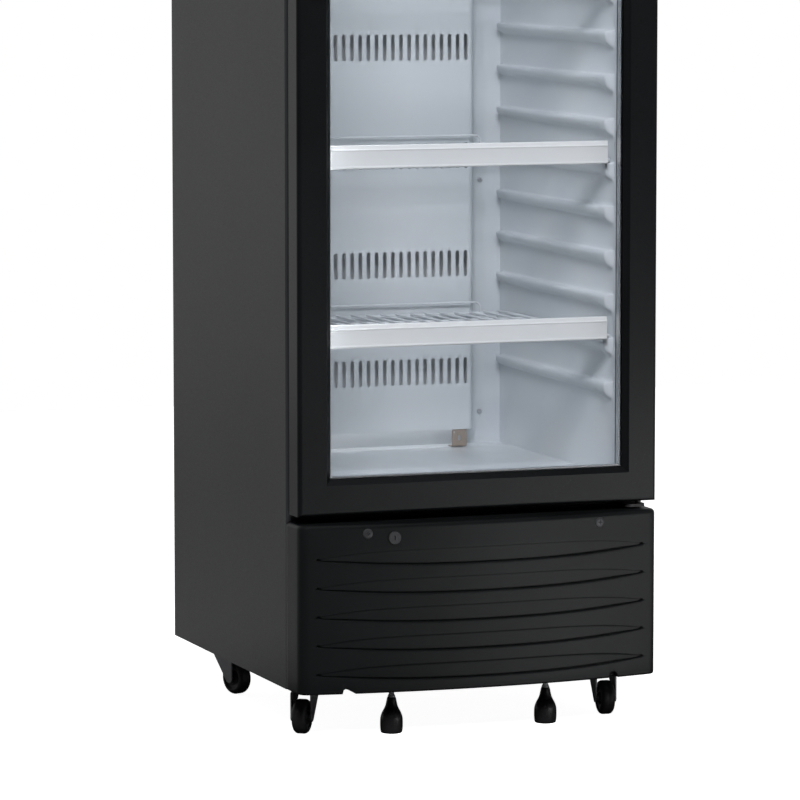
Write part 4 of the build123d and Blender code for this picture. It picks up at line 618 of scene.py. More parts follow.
def build_grille():
    """Bowed cover with louvres and notches; its top is filled around the cam's slot."""
    low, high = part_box("grille")
    edge = 0.006
    columns = []
    for x, y, nx, ny in Bow("grille").outline(COVER_PLACES):
        column = [(x - nx * depth, y - ny * depth, z) for z, depth in grille_column(x, low.z, high.z)]
        for a in spread(0.0, math.pi / 2, 8):
            inset = edge * (1 - math.cos(a))
            column.append((x - nx * inset, y - ny * inset, high.z - edge + edge * math.sin(a)))
        columns.append(column)
    rows, count = len(columns[0]), len(columns)
    verts = by_rows(columns)
    faces = flipped(grid_faces(rows, count))
    base = (rows - 1) * count
    verts += [(x, y, high.z) for x, y in cam_slot()]
    top = [Vector((x, y, 0.0)) for x, y, _ in verts[base:]]
    for a, b, c in tessellate_polygon([top[:count], top[count:]]):
        faces.append(upward([base + a, base + b, base + c], verts))
    obj = piece("grille_cover", verts, faces, "dark_plastic")
    thicken(obj, 0.0024, use_even_offset=False)
    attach(obj, "cabinet")
    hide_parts("grille")


def build_port():
    """Moulded pocket behind the half-round notch of the cover."""
    z0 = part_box("grille")[0].z + 0.0002
    y0 = Bow("grille").face_y(NOTCH_CENTRE) + 0.0026
    # (depth behind the cover, radius)
    stations = [(0.0, 0.0084), (0.004, 0.0084), (0.009, 0.0083), (0.0115, 0.0078), (0.0130, 0.0062),
                (0.0138, 0.0036), (0.0140, 0.0004)]
    steps = 16
    verts = [(x, y0 + d, z) for d, r in stations for x, z in arc(NOTCH_CENTRE, z0, r, 0, 180, steps)]
    obj = piece("cover_port", verts, grid_faces(len(stations), steps + 1), "dark_plastic")
    thicken(obj, 0.0009, offset=0.0)
    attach(obj, "cabinet")


# ---- casters
CORNERS = ["front_left", "front_right", "rear_left", "rear_right"]


def joint(name):
    return [j for j in frame["joints"] if j["name"] == name][0]


def wheel_profile(radius, half):
    """Closed section of a moulded wheel as (radius, width) points."""
    shoulder, seam, groove = 0.0065, 0.0006, 0.0002
    floor = radius - 0.00015
    pts = arc(radius - shoulder, -half + shoulder, shoulder, -90, 0, 8)
    pts += [(radius, -seam), (floor, -groove), (floor, groove), (radius, seam)]
    pts += arc(radius - shoulder, half - shoulder, shoulder, 0, 90, 8)
    for side in (1, -1):
        face = side * half
        sunk = side * (half - 0.0024)
        small, step = side * 0.0004, side * 0.0005
        part = [
            (0.0178, face), (0.0172, face - small), (0.0168, sunk + step), (0.0162, sunk),
            (0.0125, sunk), (0.0120, sunk - step), (0.0112, sunk - step), (0.0107, sunk),
            (0.0086, sunk), (0.0081, sunk + step), (0.0078, face - small), (0.0072, face),
            (0.0040, face), (0.0035, face - small), (0.00305, face - side * 0.0010),
        ]
        pts += part if side > 0 else part[::-1]
    return pts


def build_wheels():
    for corner in CORNERS:
        spin = joint(f"wheel_spin_{corner}")
        axis = Vector(spin["axis"]).normalized()
        low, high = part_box(f"caster_wheel_{corner}")
        verts, faces = lathe(wheel_profile((high.z - low.z) / 2, 0.0105), 64, closed=True)
        verts = placed(verts, spin["pos_m"], UP, -axis.cross(UP), axis)
        obj = piece(f"wheel_{corner}", verts, faces, "wheel_rubber")
        crease(obj, 50)
        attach(obj, f"wheel_{corner}")
        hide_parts(f"caster_wheel_{corner}")


FORK = {"half": 0.01375, "bend": 0.0042, "front": -0.027, "back": 0.016, "round": 0.0075, "foot": 0.0074}


def fork_reach(z, z_top, trail, wheel_z):
    """Front and back of the fork's leg at a height."""
    r = FORK["round"]
    around = math.sqrt(max(0.0, r ** 2 - (wheel_z - z) ** 2))
    front = -trail - around if z < wheel_z else FORK["front"]
    foot_z = wheel_z - r * 0.55
    foot_y = -trail + r * 0.85
    if z >= foot_z:
        back = foot_y + (FORK["back"] - foot_y) * (z - foot_z) / (z_top - foot_z)
    else:
        back = -trail + around
    return front, max(back, front + 0.0002)


def fork_section(foot, top):
    """Inverted U of (x, z) points from one leg's foot over the crown to the other's."""
    half, bend = FORK["half"], FORK["bend"]
    leg = spread(foot, top - bend, 26)
    section = [(-half, z) for z in leg]
    section += arc(-half + bend, top - bend, bend, 180, 90, 7)[1:]
    section += [(x, top) for x in spread(-half + bend, half - bend, 6)[1:-1]]
    section += arc(half - bend, top - bend, bend, 90, 0, 7)
    return section + [(half, z) for z in leg[-2::-1]]


def axle_profile(out):
    """Domed head, shank and riveted end, with the fork's outer faces at out and -out."""
    return [(0.0, out + 0.0016), (0.0018, out + 0.0015), (0.0034, out + 0.0011), (0.0045, out + 0.0004),
            (0.0048, out), (0.0030, out - 0.001), (0.0030, -out + 0.001), (0.0048, -out),
            (0.0050, -out - 0.0003), (0.0050, -out - 0.0013), (0.0044, -out - 0.0016), (0.0, -out - 0.0016)]


def build_forks():
    columns = 13
    for corner in CORNERS:
        pivot = Vector(joint(f"swivel_{corner}")["pos_m"])
        wheel = Vector(joint(f"wheel_spin_{corner}")["pos_m"])
        ahead = Vector((wheel.x - pivot.x, wheel.y - pivot.y, 0))
        y_axis = -ahead.normalized()
        x_axis = y_axis.cross(UP)
        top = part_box(f"caster_fork_{corner}")[1].z
        section = fork_section(wheel.z - FORK["foot"], top)
        verts = []
        for x, z in section:
            y0, y1 = fork_reach(z, top - FORK["bend"], ahead.length, wheel.z)
            for t in spread(0.0, 1.0, columns - 1):
                verts.append((x, y0 + (y1 - y0) * (ease(t) * 0.4 + t * 0.6), z))
        verts = placed(verts, (pivot.x, pivot.y, 0), x_axis, y_axis, UP)
        obj = piece(f"fork_{corner}", verts, grid_faces(len(section), columns), "caster_zinc")
        thicken(obj, 0.002)
        modifier(obj, "BEVEL", width=0.0004, segments=2, limit_method="ANGLE", angle_limit=math.radians(50))
        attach(obj, f"fork_{corner}")
        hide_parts(f"caster_fork_{corner}")
        verts, faces = lathe(axle_profile(FORK["half"] + 0.0001), 32)
        verts = placed(verts, wheel, UP, -x_axis.cross(UP), x_axis)
        pin = piece(f"axle_{corner}", verts, faces, "bright_screws")
        crease(pin, 40)
        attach(pin, f"fork_{corner}")


PLATE = {"half": 0.024, "corner": 0.006, "thick": 0.0025, "race": 0.0055}


def build_caster_plates():
    """Top plate with rolled edge, ball race and kingpin of each caster."""
    box_low, box_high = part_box("caster_plates")
    low, top = box_low.z, box_high.z
    z0 = top - PLATE["thick"]
    cup = z0 - PLATE["race"]
    half = PLATE["half"]
    outline = rounded(-half, half, -half, half, PLATE["corner"], 6)
    levels = [(0.0006, z0), (0.0001, z0 + 0.0003), (0.0, z0 + 0.0007), (0.0, top - 0.0005), (0.0005, top)]
    plate = []
    for inset, z in levels:
        for px, py in outline:
            n = Vector((px, py, 0)).normalized()
            plate.append((px - n.x * inset, py - n.y * inset, z))
    race = [(0.0, z0), (0.0185, z0), (0.0185, z0 - 0.0007), (0.0172, z0 - 0.0012), (0.0160, z0 - 0.0022),
            (0.0160, z0 - 0.0032), (0.0156, z0 - 0.0035), (0.0160, z0 - 0.0038), (0.0160, cup + 0.0008),
            (0.0152, cup), (0.0120, cup), (0.0040, cup), (0.0040, low + 0.0018),
            (0.0070, low + 0.0018), (0.0070, low + 0.0008), (0.0058, low), (0.0, low)]
    race_verts, race_faces = lathe(race, 40)
    for corner in CORNERS:
        x, y, _ = joint(f"swivel_{corner}")["pos_m"]
        parts = Parts()
        parts.add(moved(plate, x, y), capped(len(levels), len(outline)))
        parts.add(moved(race_verts, x, y), race_faces)
        obj = parts.piece(f"plate_{corner}", "caster_zinc")
        crease(obj, 35)
        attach(obj, "cabinet")
        if corner == CORNERS[0]:
            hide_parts("caster_plates")


# ---- levelling feet
FOOT_PROFILE = [(0.0, 0.0), (0.0100, 0.0), (0.0136, 0.0), (0.0147, 0.0004), (0.0153, 0.0011),
                (0.0157, 0.0024), (0.0160, 0.0042), (0.0162, 0.0070), (0.0164, 0.0105), (0.0164, 0.0160),
                (0.0163, 0.0190), (0.0161, 0.0215), (0.0157, 0.0237), (0.0150, 0.0262), (0.0140, 0.0288),
                (0.0125, 0.0318), (0.0110, 0.0345), (0.0098, 0.0370), (0.0089, 0.0395), (0.0081, 0.0425),
                (0.0075, 0.0455), (0.0069, 0.0485), (0.0065, 0.0503), (0.0059, 0.0515), (0.0050, 0.0520),
                (0.0040, 0.0520)]
COLLAR = [(0.0, 0.0520), (0.0056, 0.0520), (0.0057, 0.0526), (0.0052, 0.0540), (0.0045, 0.0556),
          (0.0040, 0.0560), (0.0, 0.0560)]
FLUTES = 12
THREAD = {"pitch": 0.00125, "steps": 12, "start": 0.0555, "outer": 0.0040, "depth": 0.00055, "end": 0.0030}


def fluted(verts):
    """The bell with shallow flutes around its lower half."""
    out = []
    for x, y, z in verts:
        depth = 0.0004 * ease((z - 0.005) / 0.004) * (1 - ease((z - 0.019) / 0.004))
        wave = max(0.0, math.cos(FLUTES * math.atan2(y, x))) ** 4
        k = 1 - depth / max(math.hypot(x, y), 1e-6) * wave
        out.append((x * k, y * k, z))
    return out


def thread(top, segments=24):
    """Threaded stem up to a height, with its last millimetre turned down."""
    t = THREAD
    rings = int((top - t["start"]) / t["pitch"] * t["steps"])
    verts = []
    for z in spread(t["start"], top, rings):
        for s in range(segments):
            a = 2 * math.pi * s / segments
            phase = (z / t["pitch"] - s / segments) % 1.0
            cut = t["outer"] - t["depth"] * (0.5 + 0.5 * math.cos(2 * math.pi * phase)) ** 1.5
            fade = ease((top - z) / 0.001)
            r = cut * fade + t["end"] * (1 - fade)
            verts.append((r * math.cos(a), r * math.sin(a), z))
    return verts, capped(rings + 1, segments)


def build_feet():
    for side in ("left", "right"):
        low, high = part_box(f"levelling_foot_{side}")
        x, y = (low.x + high.x) / 2, (low.y + high.y) / 2
        verts, faces = lathe(FOOT_PROFILE, 64)
        obj = piece(f"foot_bell_{side}", moved(fluted(verts), x, y), faces, "foot_plastic")
        crease(obj, 60)
        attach(obj, f"foot_{side}")
        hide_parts(f"levelling_foot_{side}")
        parts = Parts()
        for verts, faces in (lathe(COLLAR, 32), thread(high.z)):
            parts.add(moved(verts, x, y), faces)
        stem = parts.piece(f"foot_stem_{side}", "bright_screws")
        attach(stem, f"foot_{side}")


# ---- liner
RIBS = {"count": 17, "first": 0.1382, "pitch": 0.064, "front": 0.020, "rear": 0.015, "stop": 0.026,
        "drop": 0.005}
# (share of the rib's thickness below its top, share of its reach)
RIB_SECTION = [(-0.25, 0.0), (-0.06, 0.02), (0.0, 0.12), (0.02, 0.62), (0.06, 0.90), (0.14, 1.0),
               (0.35, 0.98), (0.60, 0.88), (0.78, 0.72), (0.90, 0.48), (1.0, 0.20), (1.12, 0.04), (1.30, 0.0)]
RIB_FRONT, RIB_REAR = 0.013, 0.010
RIB_NOSE = [-0.001, 0.0004, 0.0012, 0.0025, 0.0045, 0.008, 0.013, 0.018, 0.021, 0.024, 0.027, 0.031]
RIB_TAIL = [-0.005, -0.0025, -0.0008, 0.001]


def rib_depth(y, y0, y1):
    """Thickness of a rib from its flat top down, at a place along it."""
    k = RIBS
    stop = y0 + k["stop"]
    depth = k["front"] + (k["rear"] - k["front"]) * max(0.0, (y - stop) / (y1 - stop))
    return depth + k["drop"] * (1.0 - ease((y - stop + k["drop"]) / (k["drop"] * 1.6)))


def build_liner_sides():
    """Moulded side walls: one skin with soft shelf ribs and rounded front stops."""
    wall_low, wall_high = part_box("liner_rear")
    inner = wall_high.x
    for side, label in ((-1, "left"), (1, "right")):
        low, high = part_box(f"liner_side_{label}")
        reach = inner - min(abs(low.x), abs(high.x))
        front, rear = low.y + RIB_FRONT, wall_low.y - RIB_REAR
        places = [low.y, low.y + 0.006] + [front + d for d in RIB_NOSE]
        places += spread(front + RIB_NOSE[-1], rear - 0.008, 16)[1:]
        places += [rear + d for d in RIB_TAIL] + [wall_low.y - 0.0006, high.y]
        columns = []
        for y in places:
            column = [(side * inner, y, low.z)]
            swell = ease((y - front + 0.001) / 0.0045) * (1 - ease((y - rear + 0.007) / 0.008))
            depth = rib_depth(y, front, rear)
            for i in range(RIBS["count"]):
                top = wall_low.z + RIBS["first"] + i * RIBS["pitch"]
                for down, out in reversed(RIB_SECTION):
                    column.append((side * (inner - reach * out * swell), y, top - depth * down))
            column.append((side * inner, y, high.z))
            columns.append(column)
        faces = grid_faces(len(columns[0]), len(columns))
        if side > 0:
            faces = flipped(faces)
        obj = piece(f"liner_wall_{label}", by_rows(columns), faces, "white_liner")
        thicken(obj, 0.0022, use_even_offset=False)
        crease(obj, 55)
        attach(obj, "cabinet")
        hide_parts(f"liner_side_{label}")


def build_liner_floor():
    """Floor of the liner, with a rounded lip in front and a shallow drain channel at the back."""
    low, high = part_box("liner_floor")
    rear_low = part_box("liner_rear")[0]
    z, lip, half = rear_low.z, high.z, high.x
    flat, back = low.y + 0.030, rear_low.y - 0.042
    front = [(0.0, low.z), (0.0, lip - 0.003), (0.0009, lip - 0.0009), (0.003, lip), (0.0095, lip),
             (0.0118, lip - 0.0008), (0.0135, lip - 0.003), (0.0172, z + 0.0050), (0.0192, z + 0.0020),
             (0.0225, z + 0.0004), (0.027, z)]
    channel = [(0.006, 0.0012), (0.012, 0.0021), (0.026, 0.0022), (0.032, 0.0012), (0.036, 0.0)]
    section = [(low.y + d, level) for d, level in front]
    section += list(zip(spread(flat, back, 14), spread(z, z - 0.0005, 14)))
    section += [(back + d, z - sink) for d, sink in channel] + [(rear_low.y, z), (high.y, z)]
    edge = [half, half - 0.0006, half - 0.004, half - 0.012]
    places = [-x for x in edge] + spread(-half + 0.03, half - 0.03, 14) + edge[::-1]
    obj = piece("liner_floor_tray", *carried(places, section), "white_liner")
    thicken(obj, 0.0004)
    crease(obj, 50)
    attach(obj, "cabinet")
    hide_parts("liner_floor")


# ---- air duct
SLOTS = {"width": 0.006, "height": 0.040, "pitch": 0.0132, "count": 26, "rows": 6, "first": 0.098,
         "row_pitch": 0.1655}
DUCT = {"flange": 0.033, "bend": 0.009, "sheet": 0.0012}


def add_loop(curve, points):
    spline = curve.splines.new("POLY")
    spline.points.add(len(points) - 1)
    for target, (x, y) in zip(spline.points, points):
        target.co = (x, y, 0.0, 1.0)
    spline.use_cyclic_u = True


def pierced_sheet(name, outline, holes, thickness, edge, y, material):
    """Upright sheet with holes through it; its front face lies at y."""
    curve = bpy.data.curves.new(name, "CURVE")
    curve.dimensions = "2D"
    curve.fill_mode = "BOTH"
    curve.extrude = thickness / 2 - edge
    curve.bevel_depth = edge
    curve.bevel_resolution = 1
    curve.offset = -edge
    for loop in [outline] + holes:
        add_loop(curve, loop)
    source = bpy.data.objects.new(name + "_curve", curve)
    scene.collection.objects.link(source)
    bpy.context.view_layer.update()
    mesh = bpy.data.meshes.new_from_object(source.evaluated_get(bpy.context.evaluated_depsgraph_get()))
    bpy.data.objects.remove(source)
    verts = [(v.co.x, y + thickness / 2 - v.co.z, v.co.y) for v in mesh.vertices]
    faces = flipped([p.vertices for p in mesh.polygons])
    bpy.data.meshes.remove(mesh)
    obj = piece(name, verts, faces, material)
    crease(obj, 30)
    return obj


def bar_gaps(radius, cx, cz, pitch, bar):
    """Openings of a round guard that is crossed by level bars."""
    gaps = []
    count = int(radius / pitch)
    for i in range(-count - 1, count + 1):
        z0 = max(i * pitch + bar / 2, -radius)
        z1 = min((i + 1) * pitch - bar / 2, radius)
        if z1 - z0 < bar:
            continue
        reach = [(math.sqrt(max(1e-8, radius ** 2 - z * z)), z) for z in spread(z0, z1, 4)]
        right = [(cx + x, cz + z) for x, z in reach]
        left = [(cx - x, cz + z) for x, z in reversed(reach)]
        gaps.append(right + left)
    return gaps


def duct_holes(floor):
    """Rows of upright slots, and the barred opening in front of the fan."""
    k = SLOTS
    holes = []
    for row in range(k["rows"]):
        z0 = floor + k["first"] + row * k["row_pitch"]
        for i in range(k["count"]):
            holes.append(stadium((i - (k["count"] - 1) / 2) * k["pitch"], z0, k["width"], k["height"]))
    low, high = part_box("evaporator_fan_blades")
    centre = (low + high) / 2
    return holes + bar_gaps((high.z - low.z) / 2, centre.x, centre.z, 0.012, 0.003)


def build_duct():
    """Slotted front sheet, side folds with their flanges, and the lid."""
    low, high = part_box("air_duct_panel")
    bend = DUCT["bend"]
    half = high.x - DUCT["flange"]
    face = half - bend
    outline = [(-face, low.z), (face, low.z), (face, high.z - bend), (-face, high.z - bend)]
    holes = duct_holes(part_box("liner_rear")[0].z)
    panel = pierced_sheet("duct_front", outline, holes, DUCT["sheet"], 0.0003, low.y, "white_duct")
    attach(panel, "cabinet")
    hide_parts("air_duct_panel")
    # (x, y) from the flange's edge, round the fold and on to the front face
    path = [(half + DUCT["flange"], high.y - 0.0002), (half + 0.006, high.y - 0.0002),
            (half + 0.0025, high.y - 0.0010), (half + 0.0006, high.y - 0.0030), (half, high.y - 0.006)]
    path += [(half, low.y + bend)] + arc(face, low.y + bend, bend, 0, -90, 6)[1:]
    levels = spread(low.z, high.z, 40)
    parts = Parts()
    for side in (-1, 1):
        verts = [(side * x, y, z) for z in levels for x, y in path]
        faces = grid_faces(len(levels), len(path))
        parts.add(verts, flipped(faces) if side > 0 else faces)
    lid = arc(low.y + bend, high.z - bend, bend, 180, 90, 6) + [(high.y, high.z)]
    places = (-half, -half + 0.002, 0.0, half - 0.002, half)
    verts, faces = carried(places, lid)
    parts.add(verts, flipped(faces))
    sides = parts.piece("duct_sides", "white_duct")
    thicken(sides, 0.0011)
    crease(sides, 50)
    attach(sides, "cabinet")


def build_brackets():
    """Folded angles under the duct's lower corners, each with a slotted hole."""
    low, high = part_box("duct_brackets")
    one_low, one_high = box_of(islands(NODES["duct_brackets"].data)[-1])
    width = one_high.x - one_low.x
    sheet, r = DUCT["sheet"], 0.0022
    z0, web = low.z + 0.0024, low.z + 0.0006
    for side, label in ((-1, "left"), (1, "right")):
        xa, xb = sorted((side * (high.x - width), side * high.x))
        outline = arc(xb - r, high.z - r, r, 0, 90, 5) + arc(xa + r, high.z - r, r, 90, 180, 5)
        outline += [(xa, z0), (xb, z0)]
        holes = [stadium((xa + xb) / 2, low.z + 0.0095, 0.0044, 0.0085),
                 stadium(xa + 0.0035, low.z + 0.021, 0.0020, 0.0030)]
        upright = pierced_sheet(f"bracket_{label}", outline, holes, sheet, 0.0002, low.y, "bracket_tan")
        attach(upright, "cabinet")
        if side < 0:
            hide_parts("duct_brackets")
        path = [(low.y + sheet / 2, z0), (low.y + 0.0008, low.z + 0.0014), (low.y + 0.0016, low.z + 0.0007),
                (low.y + 0.0028, web), (high.y - 0.002, web), (high.y, web)]
        places = [xa, xa + 0.0005, (xa + xb) / 2, xb - 0.0005, xb]
        foot = piece(f"bracket_foot_{label}", *carried(places, path), "bracket_tan")
        thicken(foot, 0.0011, offset=0.0)
        crease(foot, 50)
        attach(foot, "cabinet")


# ---- door seal
def frame_sweep(section, x_half, z0, z1):
    """Closed section of (inset, y) points carried round a rectangle with mitred corners."""
    verts = []
    for sx, sz in ((-1, 0), (1, 0), (1, 1), (-1, 1)):
        for inset, y in section:
            verts.append((sx * (x_half - inset), y, z1 - inset if sz else z0 + inset))
    n = len(section)
    faces = []
    for c in range(4):
        d = (c + 1) % 4
        for i in range(n):
            j = (i + 1) % n
            faces.append((c * n + i, d * n + i, d * n + j, c * n + j))
    return verts, faces


def build_gasket():
    """Magnetic seal: base web, bellows fold and rounded magnet pocket."""
    low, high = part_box("door_gasket")
    front, back = low.y, high.y
    fold = [(0.0, 0.30), (0.0010, 0.37), (0.0034, 0.42), (0.0040, 0.50), (0.0034, 0.57), (0.0010, 0.62),
            (0.0, 0.68)]
    outer = [(0.0016, front), (0.0004, front + 0.0006), (0.0, front + 0.0016)]
    outer += [(inset, front + (back - front) * share) for inset, share in fold]
    outer += [(0.0, back - 0.0022), (0.0007, back - 0.0007), (0.0022, back)]
    middle = [(0.0052, back), (0.0056, back - 0.0003), (0.0104, back - 0.0003), (0.0108, back)]
    section = outer + middle + [(0.016 - inset, y) for inset, y in reversed(outer)]
    verts, faces = frame_sweep(section, high.x, low.z, high.z)
    obj = piece("seal_bellows", verts, faces, "gasket_rubber")
    crease(obj, 60)
    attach(obj, "door")
    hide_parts("door_gasket")


# ---- screws
PAN_HEIGHT, SHANK = 0.0020, 0.0019
COVER_SCREW = (0.0074, 0.0021)
SCREW_DOME = [(1.0, 0.0), (1.0, 0.25), (0.96, 0.50), (0.86, 0.74), (0.70, 0.90), (0.56, 0.97)]


def screw_head(radius, height, segments=32):
    """Pan head with a cross recess, standing on local Z 0."""
    rings = [[(r, h)] * segments for r, h in SCREW_DOME]
    lobes = [0.5 + 0.5 * math.cos(4 * 2 * math.pi * i / segments) for i in range(segments)]
    rings.append([(0.16 + 0.34 * q ** 2, 0.99) for q in lobes])
    rings.append([(0.15 + 0.31 * q ** 2, 0.62) for q in lobes])
    rings.append([(0.08 + 0.12 * q, 0.30) for q in lobes])
    verts = []
    for ring in rings:
        for i, (r, h) in enumerate(ring):
            a = 2 * math.pi * i / segments
            verts.append((radius * r * math.cos(a), radius * r * math.sin(a), height * h))
    return verts, capped(len(rings), segments)


def build_screws():
    """Heads and tails of the screws, at the places of the modelled ones."""
    dark, bright = Parts(), Parts()
    cover_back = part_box("rear_cover")[1].y
    bow = Bow("grille")
    for points in islands(NODES["panel_screws"].data):
        low, high = box_of(points)
        x, z = (low.x + high.x) / 2, (low.z + high.z) / 2
        radius = (high.x - low.x) / 2
        rear = high.y > cover_back
        out = 1 if rear else -1
        seat, far = (high.y - PAN_HEIGHT, low.y) if rear else (low.y + PAN_HEIGHT, high.y)
        shank, length = min(SHANK, radius * 0.5), abs(far - seat)
        profile = [(0.0, 0.0), (shank * 0.8, 0.0), (shank, 0.0006), (shank, length), (0.0, length)]
        tail, tail_faces = lathe(profile, 16)
        axes = ((-out, 0, 0), UP, (0, out, 0))
        if not rear and high.y < 0:
            bucket = dark
            lean = x / bow.radius
            upright = math.sqrt(1 - lean * lean)
            head, head_faces = screw_head(*COVER_SCREW, 40)
            head = placed(head, (x, bow.face_y(x) + 0.0003, z), (upright, lean, 0), UP, (lean, -upright, 0))
        else:
            bucket = bright
            head, head_faces = screw_head(radius, PAN_HEIGHT)
            head = placed(head, (x, seat, z), *axes)
        bucket.add(head, head_faces)
        bucket.add(placed(tail, (x, far, z), *axes), tail_faces)
    cover = dark.piece("cover_screws", "dark_screws")
    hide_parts("panel_screws")
    for obj in (cover, bright.piece("sheet_screws", "bright_screws")):
        crease(obj, 40)
        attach(obj, "cabinet")


# ---- price strips
# (distance behind the face, distance below the strip's top or above its foot)
STRIP_TOP = [(0.0026, 0.0), (0.0016, 0.0003), (0.0012, 0.0010), (0.0012, 0.0050), (0.0009, 0.0056),
             (0.0003, 0.0060), (0.0000, 0.0066), (0.0001, 0.0076), (0.0006, 0.0082), (0.0007, 0.0090)]
STRIP_FOOT = [(0.0007, 0.0046), (0.0006, 0.0038), (0.0001, 0.0030), (0.0, 0.0020), (0.0004, 0.0008),
              (0.0014, 0.0)]


def build_strips():
    """Ticket mouldings: a flat face between two rolled lips."""
    for number, points in enumerate(islands(NODES["price_strips"].data)):
        low, high = box_of(points)
        section = [(high.y, high.z)] + [(low.y + d, high.z - h) for d, h in STRIP_TOP]
        section += [(low.y + d, low.z + h) for d, h in STRIP_FOOT] + [(high.y, low.z)]
        places = [low.x, low.x + 0.0004, low.x + 0.003] + spread(low.x + 0.02, high.x - 0.02, 10)
        places += [high.x - 0.003, high.x - 0.0004, high.x]
        level = round((low.z - 0.5) * 1000)
        obj = piece(f"price_strip_{level}", *carried(places, section), "ticket_strip")
        thicken(obj, 0.0018)
        crease(obj, 50)
        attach(obj, "cabinet")
        if number == 0:
            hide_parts("price_strips")


# ---- fans
# (share of the hub's radius, share of the half depth) of the cap, between its two ends at the bore
HUB_CAP = [(0.35, 0.96), (0.72, 0.86), (0.92, 0.62), (1.0, 0.30), (1.0, -0.98), (0.88, -0.98), (0.84, 0.10),
           (0.36, 0.22), (0.32, -0.40)]


def blade(start, pitch, lean, hub, radius, half, rows=10, columns=9):
    """One swept, cambered blade: a front skin, a back skin and the rim between them."""
    verts = []
    for side in (1, -1):
        for t in spread(0.0, 1.0, rows - 1):
            r = hub * 0.94 + (radius * 0.985 - hub * 0.94) * t
            width = pitch * (0.62 + 0.10 * math.sin(math.pi * t))
            for u in spread(-1.0, 1.0, columns - 1):
                a = start + lean * t * t + u * width / 2 * (1 - 0.25 * t ** 6)
                rise = half * 0.80 * u * (1 - 0.28 * t) + half * 0.16 * (1 - u * u)
                thick = side * 0.0006 * (1 - 0.75 * u * u)
                verts.append((r * math.cos(a), r * math.sin(a), rise + thick))
    n = rows * columns
    front = grid_faces(rows, columns)
    back = flipped([[n + k for k in f] for f in front])
    rim = list(range(columns)) + [r * columns + columns - 1 for r in range(1, rows)]
    rim += [(rows - 1) * columns + c for c in range(columns - 2, -1, -1)]
    rim += [r * columns for r in range(rows - 2, 0, -1)]
    return verts, front + back + [(q, p, n + p, n + q) for p, q in zip(rim, rim[1:] + rim[:1])]


def build_fan(node, body, material):
    """Moulded rotor: domed hub and blades about the Y axis."""
    low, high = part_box(node)
    centre = (low + high) / 2
    radius, half = (high.z - low.z) / 2, (high.y - low.y) / 2
    hub, bore, count, lean = 0.0170, 0.0026, 5, 0.35
    axes = ((1, 0, 0), UP, (0, -1, 0))
    cap = [(bore, half * 0.97)] + [(hub * r, half * h) for r, h in HUB_CAP] + [(bore, -half * 0.40)]
    shapes = [lathe(cap, 40, closed=True)]
    pitch = 2 * math.pi / count
    shapes += [blade(pitch * b, pitch, lean, hub, radius, half) for b in range(count)]
    parts = Parts()
    for verts, faces in shapes:
        parts.add(placed(verts, centre, *axes), faces)
    obj = parts.piece(node.replace("_blades", "_rotor"), material)
    crease(obj, 50)
    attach(obj, body)
    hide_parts(node)


# ---- stage and light
def make_stage():
    """White floor: bright to the camera, and in zones of grey to what it lights and mirrors in: painted shade on
    the left and round the cabinet, painted light to the front right and behind.
    """
    mesh = bpy.data.meshes.new("floor")
    size = 4.0
    corners = [(-size, -size, 0), (size, -size, 0), (size, size, 0), (-size, size, 0)]
    mesh.from_pydata(corners, [], [(0, 1, 2, 3)])
    floor = bpy.data.objects.new("floor", mesh)
    scene.collection.objects.link(floor)
    s = Shade("floor_white", grey(0.90), 0.9, Emission_Color=(1.0, 1.0, 1.0, 1.0), Emission_Strength=0.96)
    s.tint(s.noise(2.0), grey(0.88))
    # diffuse floor seen only by other rays; it carries the painted light and shade zones below
    dim = s.node("ShaderNodeBsdfDiffuse")
    place = s.node("ShaderNodeSeparateXYZ")
    s.link(s.coords(), place.inputs["Vector"])
    x, y = place.outputs["X"], place.outputs["Y"]
    # painted light and shade in front of the cabinet: dark to the left, bright to the right, mid grey to the far
    # right
    near = s.blend(s.ramp(x, -0.2, 0.3), grey(0.04), grey(0.95))
    far = s.blend(s.ramp(x, 0.0, 0.8), grey(0.04), grey(0.62))
    front = s.blend(s.ramp(y, -1.7, -1.1), far, near)
    # painted shade in a band round and under the cabinet, then a painted mid grey behind it
    under = s.blend(s.ramp(y, -0.46, -0.36), front, grey(0.03))
    tone = s.blend(s.ramp(y, 0.0, 0.6), under, grey(0.38))
    s.link(tone, dim.inputs["Color"])
    s.mix(s.seen_directly(), dim.outputs["BSDF"], s.bsdf.outputs["BSDF"], s.out)
    mesh.materials.append(s.material)


def make_world():
    """White to the camera; otherwise dim, brighter towards the right and the back."""
    world = bpy.data.worlds.new("world")
    scene.world = world
    world.use_nodes = True
    world.node_tree.nodes.clear()
    g = Graph(world.node_tree)
    out = g.node("ShaderNodeOutputWorld")
    seen = g.node("ShaderNodeBackground", Color=(1.0, 1.0, 1.0, 1.0))
    around = g.node("ShaderNodeBackground")
    split = g.node("ShaderNodeSeparateXYZ")
    g.link(g.node("ShaderNodeTexCoord").outputs["Generated"], split.inputs["Vector"])
    total = g.node("ShaderNodeMath", operation="MAXIMUM")
    g.link(g.ramp(split.outputs["X"], 0.25, 1.0, 0.015, 0.14), total.inputs[0])
    g.link(g.ramp(split.outputs["Y"], 0.0, 0.8, 0.0, 0.57), total.inputs[1])
    g.link(total.outputs["Value"], around.inputs["Strength"])
    g.mix(g.seen_directly(), around.outputs["Background"], seen.outputs["Background"], out)


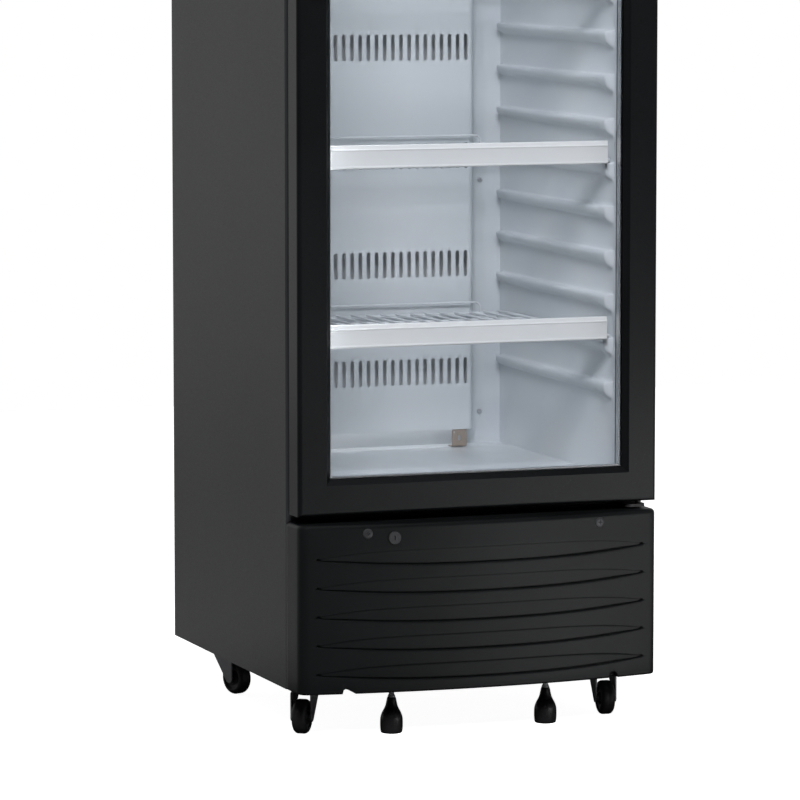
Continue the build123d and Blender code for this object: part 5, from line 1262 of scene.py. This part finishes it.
def area_light(name, place, target, size, power, colour=(1.0, 1.0, 1.0), size_y=None):
    data = bpy.data.lights.new(name, "AREA")
    data.shape = "RECTANGLE"
    data.size = size
    data.size_y = size_y or size
    data.energy = power
    data.color = colour
    light = bpy.data.objects.new(name, data)
    light.location = place
    light.rotation_euler = (Vector(target) - Vector(place)).to_track_quat("-Z", "Y").to_euler()
    light.visible_camera = False
    scene.collection.objects.link(light)
    return light


def make_lights():
    key = area_light("key", (-1.7, -4.4, 4.1), (0.0, 0.0, 0.8), 1.8, 560.0)
    key.visible_glossy = False
    area_light("glint", (-1.6, -3.0, 2.6), (0.0, 0.0, 0.6), 0.5, 6.0)
    area_light("overhead", (0.0, -0.9, 3.4), (0.0, -0.5, 0.0), 1.6, 5.0)
    area_light("right_card", (1.06, -1.7, 0.075), (0.3, -0.2, 0.075), 0.9, 2.15, size_y=0.32)
    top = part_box("liner_ceiling")[0].z
    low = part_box("liner_floor")[1].z
    middle = (top + low) / 2
    duct_low, duct_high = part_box("air_duct_panel")
    duct_y = (duct_low.y + duct_high.y) / 2
    area_light("under_duct", (0.0, duct_y, duct_low.z + 0.012), (0.0, 0.30, low - 0.2), 0.34, 0.048,
               size_y=0.02)
    area_light("behind_slots", (0.0, duct_low.y + 0.004, 0.86), (0.0, 0.30, 0.86), 0.34, 0.07, size_y=0.92)
    area_light("inside_top", (0.0, -0.16, top - 0.03), (0.0, 0.02, 0.4), 0.38, 0.6, (0.94, 0.98, 1.0), 0.03)
    area_light("inside_side", (-0.222, -0.205, middle), (0.20, -0.02, middle), 0.03, 1.5, (0.97, 0.99, 1.0),
               top - low - 0.1)


for step in (make_camera, build_materials, dress_frame, build_grille, build_wheels, build_forks,
             build_caster_plates, build_feet, build_liner_sides, build_liner_floor, build_duct,
             build_gasket, build_screws, build_strips):
    step()
build_fan("evaporator_fan_blades", "evaporator_fan", "fan_plastic")
build_fan("condenser_fan_blades", "condenser_fan", "fan_metal")
for step in (build_brackets, build_port, make_stage, make_world, make_lights):
    step()
scene.view_settings.view_transform = "Standard"
